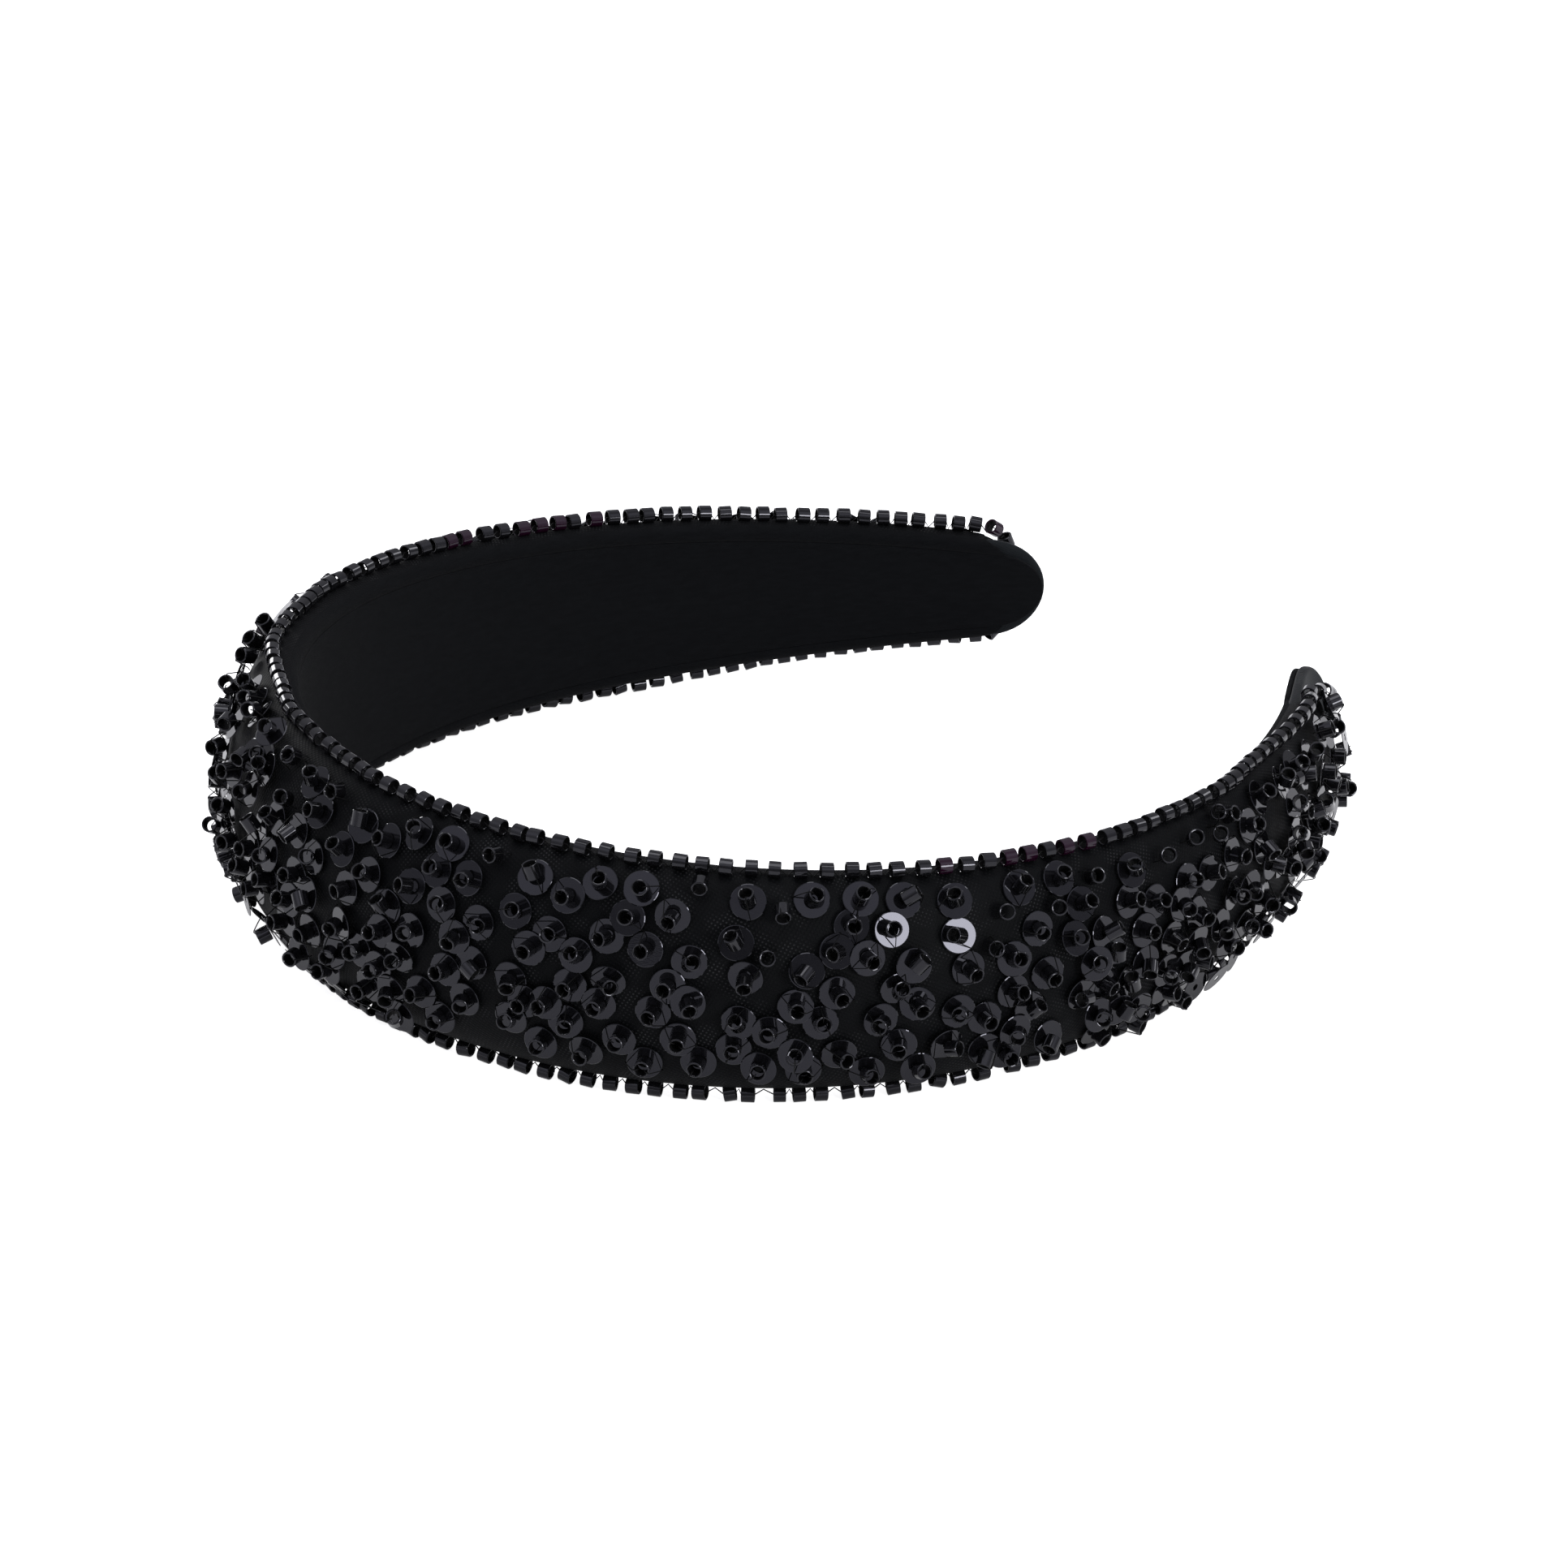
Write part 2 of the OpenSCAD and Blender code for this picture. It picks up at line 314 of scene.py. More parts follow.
def twill(name, dark, light, pitch, painted_glint, sheen):
    """Black woven cloth: diagonal ribs crossed by the weft, with painted glints: its raised points
    are lightened in the base colour, in patches.
    """
    mat = material(name, dark, 0.6, Sheen_Weight=sheen, Sheen_Roughness=0.35,
                   Specular_IOR_Level=0.05)
    at = node(mat, "ShaderNodeUVMap", uv_map="cloth")
    warp = node(mat, "ShaderNodeMapping", {"Vector": (at, "UV")}, Rotation=(0, 0, RIB_TURN))
    scale = WAVE_PITCH / pitch
    ribs = node(mat, "ShaderNodeTexWave", {"Vector": (warp, "Vector")}, Scale=scale,
                Distortion=0.9, Detail=1.0, Detail_Scale=1.0)
    cross = node(mat, "ShaderNodeTexWave", {"Vector": (warp, "Vector")}, Scale=scale,
                 Distortion=0.8, bands_direction="Y")
    weave = node(mat, "ShaderNodeMath", {0: (ribs, "Fac"), 1: (cross, "Fac")},
                 operation="MULTIPLY")
    bumped(mat, weave, "Value", 0.4, 0.0001)
    dye = node(mat, "ShaderNodeTexNoise", {"Vector": (at, "UV")}, Scale=0.35, Detail=4.0)
    tone = ramp(mat, dye, "Fac", [(0.3, dark), (0.7, light)])
    # Painted glints: the base colour is lightened on the weave's raised points, only where the
    # patch noise below lets it through, in place of sparkles of light
    painted_glint_dots = ramp(mat, weave, "Value", [(0.4, (0, 0, 0)), (0.85, (painted_glint, painted_glint, painted_glint * 1.05))])
    patches = node(mat, "ShaderNodeTexNoise", {"Vector": (at, "UV")}, Scale=0.22, Detail=2.0)
    painted_glint_patches = ramp(mat, patches, "Fac", [(0.5, (0.02,) * 3), (0.7, (1, 1, 1))])
    both = node(mat, "ShaderNodeMix", {"Factor": (painted_glint_patches, "Color"), "A": (tone, "Color"),
                                       "B": (painted_glint_dots, "Color")}, data_type="RGBA", blend_type="ADD")
    feed(mat, "Base Color", both, "Result")
    return mat


def grained(name, colors, stops, tone, relief, roughness, **values):
    """A material whose colour and roughness follow one noise. tone is its scale and detail, and
    relief those of the noise that bumps the surface, with its strength and depth in metres."""
    mat = material(name, colors[0], roughness[0], **values)
    shade = node(mat, "ShaderNodeTexNoise", Scale=tone[0], Detail=tone[1])
    feed(mat, "Base Color", ramp(mat, shade, "Fac", list(zip(stops, colors))), "Color")
    if roughness[1] > roughness[0]:
        feed(mat, "Roughness", spread(mat, shade, "Fac", *roughness), "Result")
    same = relief[:2] == tone
    grain = shade if same else node(mat, "ShaderNodeTexNoise", Scale=relief[0], Detail=relief[1])
    bumped(mat, grain, "Fac", *relief[2:])
    return mat


def glass_bead(name, color):
    return grained(name, (color, [c * 1.6 for c in color]), stops=(0.35, 0.75), tone=(500, 1.0),
                   relief=(500, 1.0, 0.03, 0.00004), roughness=(0.05, 0.12), IOR=1.42,
                   Specular_Tint=(0.9, 0.9, 1.0, 1))


COVER_CLOTH = twill("cover_cloth", (0.0019, 0.0021, 0.0025), (0.0028, 0.0031, 0.0036),
                    pitch=0.5, painted_glint=0.022, sheen=0.01)
HOOP_CLOTH = twill("hoop_cloth", (0.006, 0.0072, 0.0085), (0.008, 0.0096, 0.011),
                   pitch=0.3, painted_glint=0.0, sheen=0.08)
VELVET = grained("lining_velvet", ((0.0028, 0.0031, 0.0037), (0.0040, 0.0044, 0.0052)),
                 stops=(0.35, 0.75), tone=(60, 3.0), relief=(5200, 3.0, 0.5, 0.00015),
                 roughness=(0.95, 0.95), Sheen_Weight=0.012, Sheen_Roughness=0.5,
                 Specular_IOR_Level=0.05)
BEAD_BLACK = glass_bead("bead_black", (0.0026, 0.0026, 0.0030))
BEAD_VIOLET = glass_bead("bead_violet", (0.0085, 0.0012, 0.006))
SEQUIN_BLACK = grained("sequin_black", ((0.0022, 0.0022, 0.0026), (0.0033, 0.0033, 0.0039)),
                       stops=(0.3, 0.7), tone=(260, 1.5), relief=(260, 1.5, 0.03, 0.00005),
                       roughness=(0.02, 0.06), IOR=1.41, Specular_Tint=(0.86, 0.86, 1.0, 1))
THREAD = grained("thread_black", ((0.0025, 0.0025, 0.0027), (0.005, 0.005, 0.0055)),
                 stops=(0.3, 0.8), tone=(4000, 2.0), relief=(4000, 2.0, 0.4, 0.00005),
                 roughness=(0.6, 0.6), Specular_IOR_Level=0.1)


# Meshes


def piece(name, points, faces, materials, uv=None, slots=None, smooth=True):
    """An object from points in the band's frame, with one UV pair for each point if given."""
    mesh = bpy.data.meshes.new(name)
    mesh.from_pydata(rest(np.asarray(points)).tolist(), [], [list(map(int, f)) for f in faces])
    for mat in materials:
        mesh.materials.append(mat)
    if slots is not None:
        mesh.polygons.foreach_set("material_index", np.asarray(slots, np.int32))
    if uv is not None:
        layer = mesh.uv_layers.new(name="cloth")
        corner = np.empty(len(mesh.loops), np.int32)
        mesh.loops.foreach_get("vertex_index", corner)
        layer.uv.foreach_set("vector", np.asarray(uv, np.float32)[corner].ravel())
    mesh.polygons.foreach_set("use_smooth", [smooth] * len(mesh.polygons))
    mesh.update()
    return linked(name, mesh)


def tidy(obj, dist=1e-7):
    """Welds points that coincide, drops faces without area and turns the rest outward."""
    bm = bmesh.new()
    bm.from_mesh(obj.data)
    bmesh.ops.remove_doubles(bm, verts=bm.verts, dist=dist)
    bmesh.ops.dissolve_degenerate(bm, edges=bm.edges, dist=dist)
    bmesh.ops.recalc_face_normals(bm, faces=bm.faces)
    bm.to_mesh(obj.data)
    bm.free()
    return obj


def grid_faces(n, m, closed):
    """Quads between n rings of m points."""
    i, j = np.meshgrid(np.arange(n - 1), np.arange(m if closed else m - 1), indexing="ij")
    k = (j + 1) % m
    return np.stack([i * m + j, i * m + k, (i + 1) * m + k, (i + 1) * m + j], -1).reshape(-1, 4)


def copies(template, places):
    """Points and faces of a template (points, faces), once for each 3 x 4 matrix in places."""
    points, faces = template
    out = np.einsum("nij,pj->npi", places[:, :, :3], points) + places[:, None, :, 3]
    shift = np.arange(len(places)) * len(points)
    return out.reshape(-1, 3), (faces[None] + shift[:, None, None]).reshape(-1, faces.shape[1])


def lathe(profile, sides):
    """A closed ring of revolution about z from (radius, height) pairs."""
    a = np.arange(sides) * 2 * math.pi / sides
    r, z = np.asarray(profile, float).T
    points = np.stack([
        r[None] * np.cos(a)[:, None], r[None] * np.sin(a)[:, None], z[None] + 0 * a[:, None]
    ], -1)
    m = len(profile)
    faces = grid_faces(sides + 1, m, True) % (sides * m)
    return points.reshape(-1, 3), faces[:, ::-1]


def axes_for(axis, spin):
    """Rotation matrices whose third column is axis, turned by spin about it."""
    axis = unit(np.asarray(axis, float))
    ref = np.where(np.abs(axis[:, 2:3]) < 0.9, [[0, 0, 1.0]], [[1.0, 0, 0]])
    a = unit(np.cross(ref, axis))
    b = np.cross(axis, a)
    c, d = np.cos(spin)[:, None], np.sin(spin)[:, None]
    return np.stack([a * c + b * d, b * c - a * d, axis], -1)


def off(axis, spin):
    """A direction at right angles to axis."""
    return axes_for(axis[None], np.array([spin]))[0, :, 0]


def tube(path, radius, sides=6):
    """Points and faces of a round thread along a path, with closed ends."""
    path = np.asarray(path, float)
    t = unit(np.gradient(path, axis=0))
    ref = np.array([0.0, 0.0, 1.0]) if abs(t[0][2]) < 0.8 else np.array([1.0, 0.0, 0.0])
    rings = []
    for p, d in zip(path, t):
        ref = ref - d * (ref @ d)
        ref = ref / np.linalg.norm(ref)
        other = np.cross(d, ref)
        a = np.arange(sides) * 2 * math.pi / sides
        rings.append(p + radius * (np.cos(a)[:, None] * ref + np.sin(a)[:, None] * other))
    faces = [list(f) for f in grid_faces(len(path), sides, True)]
    last = (len(path) - 1) * sides
    faces += [list(range(sides))[::-1], list(range(last, last + sides))]
    return np.concatenate(rings), faces


def joined(parts):
    """Points and faces of several (points, faces) as one."""
    points, faces, start = [], [], 0
    for p, f in parts:
        points.append(p)
        faces += [[i + start for i in row] for row in f]
        start += len(p)
    return np.concatenate(points), faces


# Hoop and lining: strips with round ends


def strip(inset, outer, inner, radius, tip_inset, columns=10):
    """Points, faces and UVs of a flat strip whose long edges and round ends are rolled.

    The inset of its long edges is a function of s."""
    start = HALF_LEN - TONGUE_ROUND
    a = np.radians(np.linspace(0, 90, 13)[1:])
    straight = np.linspace(-start, start, 281)
    rolls = [(radius * (1 - math.sin(b)), radius * (1 - math.cos(b)))
             for b in np.radians([0, 30, 60, 90])]

    def outline(d):
        r = TONGUE_ROUND - tip_inset - d
        near, far = (hoop_w(start) - inset(np.float64(end)) - d for end in (-start, start))
        s = np.concatenate([(-start - r * np.sin(a))[::-1], straight, start + r * np.sin(a)])
        side = np.concatenate([(near * np.cos(a))[::-1], hoop_w(straight) - inset(straight) - d,
                               far * np.cos(a)])
        return s, side

    face = np.linspace(1, -1, columns + 1)
    section = [(radius, outer, f) for f in face]
    section += [(d, outer - drop, -1) for d, drop in rolls[1:]]
    section += [(d, inner + drop, -1) for d, drop in rolls[:0:-1]]
    section += [(radius, inner, -f) for f in face]
    section += [(d, inner + drop, 1) for d, drop in rolls[1:]]
    section += [(d, outer - drop, 1) for d, drop in rolls[:0:-1]]
    s = np.stack([outline(d)[0] for d, _, _ in section], 1)
    u = np.array([level for _, level, _ in section]) + 0 * s
    v = np.stack([outline(d)[1] * share for d, _, share in section], 1)
    points = place(s, u, v).reshape(-1, 3)
    uv = np.stack([s, v], -1).reshape(-1, 2)
    return points, grid_faces(*s.shape, True), uv


def no_inset(s):
    return 0 * s


def lining_inset(s):
    """Inset of the lining: narrow between the hems, and nearly full where the tongues are bare."""
    past = np.interp(s, [PAD_SHIFT - PAD_END - 1, PAD_SHIFT - PAD_END + 2,
                         PAD_SHIFT + PAD_END - CORNER_BACK[1] - 1,
                         PAD_SHIFT + PAD_END - CORNER_BACK[1] + 4], [1, 0, 0, 1])
    return HEM_INSET + HEM_GAP + (LINING_SPREAD - HEM_INSET) * past


points, faces, uv = strip(no_inset, HOOP_OUTER, HOOP_INNER, radius=0.55, tip_inset=0)
hoop = tidy(piece("hoop_band", points, faces, [HOOP_CLOTH], uv))
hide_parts("hoop")
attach(hoop, "root")

points, faces, uv = strip(lining_inset, HOOP_INNER - GAP, LINING_INNER, radius=0.12,
                          tip_inset=0.5)
lining = tidy(piece("lining_strip", points, faces, [VELVET], uv))
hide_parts("lining")
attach(lining, "root")


# Places of what is sewn on: read from the photograph where it shows them, in its pixels, and
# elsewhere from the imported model, with more thrown in between

# Sequins that the photograph shows: x and y of the middle, and how far right and down of it the
# bead's free end lies
SEQUINS_SEEN = [
    (280, 920, -12, 4), (281, 1014, -13, -1), (286, 958, -12, -8), (286, 992, -12, -2),
    (289, 847, -2, -6), (292, 1031, -14, 6), (295, 892, -11, 7), (301, 951, -26, 0),
    (308, 1069, -19, -4), (313, 931, -16, 9), (313, 973, -11, 4), (315, 1043, -18, 3),
    (320, 843, -15, -3), (320, 859, -15, 5), (322, 1020, -12, -17), (324, 1092, -24, 3),
    (325, 880, -14, 1), (328, 924, 9, 12), (332, 949, -6, -8), (332, 1075, -18, 8),
    (336, 1058, -10, -3), (339, 903, -11, -6), (342, 1009, -11, -11), (353, 1133, -19, 3),
    (362, 1107, -19, -2), (368, 1024, -19, 12), (368, 1077, -17, 0), (372, 1173, -13, 9),
    (381, 1147, -14, 6), (383, 1100, 0, 22), (386, 1056, -1, -2), (389, 965, -4, -14),
    (395, 999, -16, -1), (405, 1192, -12, 4), (415, 1171, -8, 9), (423, 1137, -13, 8),
    (425, 1046, -13, -9), (428, 1093, -17, 6), (443, 1170, -9, 3), (450, 1018, 3, -29),
    (452, 1214, -11, 8), (456, 1078, -11, -6), (470, 1189, -13, 6), (472, 1143, -17, 5),
    (476, 1118, -9, -15), (479, 1036, -15, -4), (484, 1219, -6, 14), (492, 1178, -5, 3),
    (498, 1243, -7, 4), (507, 1091, -17, -1), (508, 1145, -8, 4), (517, 1027, -4, -8),
    (518, 1221, -13, 4), (537, 1072, -7, -5), (542, 1252, -7, 7), (546, 1115, -6, -3),
    (550, 1194, -14, 4), (558, 1040, -10, -5), (563, 1155, -12, 9), (574, 1231, -4, 9),
    (578, 1082, -8, 3), (582, 1186, 12, 15), (587, 1137, 7, 4), (630, 1247, -6, 8),
    (635, 1211, -9, 8), (637, 1123, -5, -3), (647, 1228, -9, 6), (651, 1167, -8, 7),
    (661, 1082, -8, -20), (669, 1234, -7, 7), (669, 1284, -7, 5), (678, 1152, -2, -1),
    (699, 1104, -8, 2), (699, 1256, -3, 10), (701, 1214, -8, 6), (709, 1176, -6, -3),
    (722, 1293, -8, 9), (735, 1236, -5, 7), (741, 1089, -3, -8), (748, 1155, -12, 2),
    (752, 1208, 3, 6), (761, 1281, -3, 4), (775, 1130, -5, 0), (794, 1097, -6, -3),
    (794, 1309, -4, 8), (796, 1170, -8, 3), (803, 1248, -6, 7), (821, 1213, -5, 8),
    (827, 1128, -5, 10), (833, 1280, 0, 10), (847, 1184, 8, -1), (850, 1233, 1, 14),
    (860, 1309, -5, 9), (904, 1293, -3, 3), (908, 1160, -9, -11), (913, 1259, -8, -5),
    (918, 1203, -1, 17), (919, 1112, -1, -13), (937, 1311, -3, 9), (947, 1268, -3, 7),
    (976, 1293, 5, 6), (979, 1240, 4, 7), (991, 1196, -8, 15), (991, 1316, 1, 12),
    (1003, 1109, 5, -8), (1009, 1260, 6, 1), (1030, 1170, -8, 6), (1032, 1223, 7, 10),
    (1037, 1299, 8, 6), (1047, 1143, 6, -2), (1059, 1109, 6, -10), (1066, 1320, 9, 4),
    (1071, 1179, 6, 8), (1085, 1255, -6, 8), (1099, 1145, 2, -1), (1102, 1217, 8, -4),
    (1110, 1287, -3, 9), (1112, 1109, 21, -12), (1126, 1187, 15, -11), (1129, 1234, 9, 13),
    (1129, 1309, 10, 8), (1164, 1287, 18, 0), (1178, 1110, -5, -11), (1179, 1153, -9, -2),
    (1184, 1246, -6, 3), (1193, 1193, 11, 10), (1207, 1253, 15, 8), (1213, 1293, -9, 27),
    (1237, 1293, 9, 11), (1247, 1269, 2, 8), (1248, 1221, 13, 0), (1250, 1181, 8, 0),
    (1257, 1093, 7, -11), (1269, 1241, 11, -10), (1280, 1144, 4, 7), (1291, 1198, 10, 10),
    (1291, 1277, -7, 16), (1304, 1083, 6, -10), (1319, 1153, 11, 2), (1331, 1113, 14, -5),
    (1331, 1223, -8, 4), (1345, 1184, 8, 0), (1346, 1244, 9, 11), (1356, 1150, 26, -12),
    (1373, 1239, 15, -12), (1389, 1109, 17, -2), (1390, 1207, -8, -10), (1391, 1233, 10, 11),
    (1392, 1073, 0, -9), (1407, 1146, 17, 3), (1408, 1189, 2, 12), (1423, 1110, 12, -3),
    (1430, 1192, 5, 10), (1442, 1155, 15, 10), (1449, 1113, 11, 8), (1457, 1187, -4, 16),
    (1462, 1086, 9, -3), (1469, 1157, 8, 16), (1474, 1125, 13, 8), (1490, 1075, 16, -2),
    (1502, 1143, 0, 7), (1509, 1157, 11, 8), (1516, 1101, 8, 2), (1518, 1053, 16, 3),
    (1536, 1017, 13, -2), (1546, 1139, 11, 6), (1548, 983, 12, -9), (1549, 1106, 11, 8),
    (1555, 1043, 11, 13), (1563, 959, 17, -5), (1570, 1106, 9, 9), (1576, 1022, 12, 1),
    (1579, 995, 12, -7), (1579, 1061, 14, 8), (1588, 941, 12, -1), (1608, 1049, 9, 6),
    (1612, 932, 2, -8), (1612, 1016, 11, -3), (1617, 992, -6, -13), (1627, 904, 15, -8),
    (1642, 968, 14, 5),
]
# Beads that it shows without a sequin: x and y of the sewn end, and the free end in the same way
BEADS_SEEN = [
    (357, 984, -7, -2), (365, 936, -8, -3), (366, 934, -7, 3), (420, 976, -11, 2),
    (614, 1054, -11, 2), (862, 1090, 0, 11), (947, 1180, -1, 0), (966, 1121, -1, 14),
    (1229, 1169, -5, -2), (1237, 1123, 1, 0), (1302, 1117, 0, 1), (1344, 1081, 9, -3),
    (1434, 1055, 0, -1), (1468, 1034, 1, -2), (1497, 1004, -5, 0), (1498, 1030, -2, -3),
    (1509, 1006, 10, -2), (332, 775, -4, -9), (320, 795, -10, -7), (314, 812, -13, 0),
]
# Sequins that mirror the light on the right
BRIGHT_SEEN = [(1099, 1145), (1179, 1153)]
SEEN_FROM, SEEN_TO = -60.0, 98.0
LOW_TILT = math.radians(20)
LOW_TILT_AT = np.radians([105, 150])
LEAST_LIFT = SEQUIN_HALF_T + 0.08
LEAST_FACING = 0.04
READ_FACING = 0.12
DISC_MARGIN = SEQUIN_MARGIN + SEQUIN_R
LEAST_PITCH = 3.7
LOOSE_PITCH = 3.6
THROWS = 9000
LOOSE_THROWS = 260
LOOSE_MARGIN = 5.5
OUTLINE_CELL = 4.0
OUTLINE_ROOM = 3
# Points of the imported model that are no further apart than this, in metres, are the same
SAME_POINT = 2e-6

rng = np.random.default_rng(11)
GRID_S, GRID_T = np.meshgrid(np.arange(-PAD_END + 1, PAD_END - 1, 0.6) + PAD_SHIFT,
                             np.radians(np.arange(2, 178.5, 1.0)), indexing="ij")
GRID_S, GRID_T = GRID_S.ravel(), GRID_T.ravel()
GRID_POINTS = cover(GRID_S, GRID_T)
GRID_NORMALS = cover_normal(GRID_S, GRID_T)
EYE = unturned(eye / MM - [0, REST_Y, REST_Z])
FACING = (unit(EYE - GRID_POINTS) * GRID_NORMALS).sum(-1)
GRID_TREE = KDTree(len(GRID_POINTS))
for k, p in enumerate(GRID_POINTS):
    GRID_TREE.insert(p, k)
GRID_TREE.balance()


def nearest(points):
    """The s and t of the places on the cover nearest to points of the band's frame."""
    k = [GRID_TREE.find(p)[1] for p in points]
    return np.stack([GRID_S[k], GRID_T[k]], 1)


def lifted(tilt):
    """How far the middle of a sequin lies above the cover."""
    return LEAST_LIFT + 0.6 * SEQUIN_R * np.sin(tilt)


def low_tilt(t):
    """How far the sequins of the lower rows lean back, towards the upper edge."""
    return np.interp(t, LOW_TILT_AT, [0, LOW_TILT])


def under_pixels(pixels):
    """The s and t of the places on the cover that the camera sees at the given pixels."""
    facing = np.flatnonzero(FACING > LEAST_FACING)
    lift = lifted(low_tilt(GRID_T[facing]))
    at = seen_at(GRID_POINTS[facing] + lift[:, None] * GRID_NORMALS[facing])[0]
    k = facing[[np.argmin(((at - p) ** 2).sum(-1)) for p in pixels]]
    return np.stack([GRID_S[k], GRID_T[k]], 1)


def kept_off_edges(st, margin):
    """The same places, moved round the section to lie at least margin from its edges."""
    t = np.linspace(0, math.pi / 2, 46)
    out = st.copy()
    for row in out:
        least = np.interp(margin, walked(cover(np.full(46, row[0]), t)), t)
        row[1] = np.clip(row[1], least, math.pi - least)
    stop = PAD_END - margin
    share = np.cos(out[:, 1])
    low = PAD_SHIFT - stop + held_back(PAD_SHIFT - PAD_END, share)
    high = PAD_SHIFT + stop + held_back(PAD_SHIFT + PAD_END, share)
    out[:, 0] = np.clip(out[:, 0], low, high)
    return out


def cad_sequins():
    """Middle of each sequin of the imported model, in the band's frame and in millimetres."""
    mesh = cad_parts["sequins"].data
    co = np.empty(len(mesh.vertices) * 3, np.float32)
    mesh.vertices.foreach_get("co", co)
    cells = np.round(co.reshape(-1, 3).astype(float) / SAME_POINT).astype(np.int64)
    near, same = np.unique(cells, axis=0, return_inverse=True)
    edges = np.empty(len(mesh.edges) * 2, np.int32)
    mesh.edges.foreach_get("vertices", edges)
    a, b = same.ravel()[edges.reshape(-1, 2)].T
    label = np.arange(len(near))
    while True:
        low = np.minimum(label[a], label[b])
        after = label.copy()
        np.minimum.at(after, a, low)
        np.minimum.at(after, b, low)
        after = after[after]
        if (after == label).all():
            break
        label = after
    centres = np.array([near[label == k].mean(0) * SAME_POINT for k in np.unique(label)])
    return unturned(centres / MM - [0, REST_Y, REST_Z])


def apart(st, pitch, rounds=14):
    """The same places, pushed along the cover until few are nearer than pitch."""
    at = cover(*st.T)
    for _ in range(rounds):
        way = at[:, None] - at[None]
        gap = sizes(way) + np.eye(len(at)) * 99
        push = ((pitch - gap).clip(0) / 2 / gap)[..., None] * way
        at = cover(*kept_off_edges(nearest(at + push.sum(1)), DISC_MARGIN).T)
    return kept_off_edges(nearest(at), DISC_MARGIN)


def hidden(st):
    """Whether places lie where the photograph doesn't show them, or too steeply to be read."""
    normal = cover_normal(*st.T)
    facing = (unit(EYE - cover(*st.T)) * normal).sum(-1)
    return (st[:, 0] < SEEN_FROM) | (st[:, 0] > SEEN_TO) | (facing < READ_FACING)


def outline_map():
    """Which cells of the photograph's plane the cover fills, with some cells of room round it."""
    filled = np.zeros([int(FRAME_PX / OUTLINE_CELL)] * 2, bool)
    x, y = (seen_at(GRID_POINTS)[0] / OUTLINE_CELL).astype(int).T
    ways = range(-OUTLINE_ROOM, OUTLINE_ROOM + 1)
    for i in ways:
        for j in ways:
            if i * i + j * j <= OUTLINE_ROOM ** 2:
                filled[y + j, x + i] = True
    return filled


OUTLINE = outline_map()


def past_outline(points):
    """Which points of the band's frame the photograph would show beyond the cover's outline."""
    x, y = (seen_at(points)[0] / OUTLINE_CELL).astype(int).T
    return ~OUTLINE[y, x]


def unseen(st):
    """Of some places, those that the photograph doesn't show."""
    return st[hidden(st)]


def added(st, more, pitch, others=()):
    """Places with those of more that lie at least pitch from all the earlier ones and others."""
    at = [*cover(*st.T), *others]
    kept = list(st)
    for row, p in zip(more, cover(*more.T)):
        if min(((np.array(at) - p) ** 2).sum(-1)) > pitch * pitch:
            at.append(p)
            kept.append(row)
    return np.array(kept)


def thrown(count):
    """Random places, spread evenly over the cover's area."""
    area = sizes(np.cross(
        cover(GRID_S + 0.5, GRID_T) - cover(GRID_S - 0.5, GRID_T),
        cover(GRID_S, GRID_T + 0.01) - cover(GRID_S, GRID_T - 0.01)))
    k = rng.choice(len(area), count, p=area / area.sum())
    return np.stack([GRID_S[k], GRID_T[k]], 1)


traced = np.array(SEQUINS_SEEN, float)
seen = apart(kept_off_edges(under_pixels(traced[:, :2]), DISC_MARGIN), LEAST_PITCH)
traced_loose = np.array(BEADS_SEEN, float)
loose = kept_off_edges(under_pixels(traced_loose[:, :2]), SEQUIN_MARGIN + BEAD_R)
loose_at = cover(*loose.T)
sewn = added(seen, unseen(nearest(cad_sequins())), LEAST_PITCH, loose_at)
more = unseen(kept_off_edges(thrown(THROWS), DISC_MARGIN))
sewn = added(sewn, more, LEAST_PITCH, loose_at)
count = len(sewn)
more = unseen(kept_off_edges(thrown(LOOSE_THROWS), LOOSE_MARGIN))
both = added(np.concatenate([sewn, loose]), more, LOOSE_PITCH)
loose = both[count:]

# Padded cover: a cloth simulation swells it between the stitches, on a coarse grid

SIM_SCALE = 0.02
SIM_FRAMES = 20
SIM_CLOTH = {
    "quality": 4, "mass": 0.3, "tension_stiffness": 12, "compression_stiffness": 12,
    "shear_stiffness": 4, "bending_stiffness": 0.3, "use_pressure": True,
    "uniform_pressure_force": 4, "vertex_group_mass": "pins",
}
SLACK = 0.5
SIM_S = np.linspace(-PAD_END + END_ROUND, PAD_END - END_ROUND, 241) + PAD_SHIFT
SIM_T = np.linspace(0, math.pi, 33)


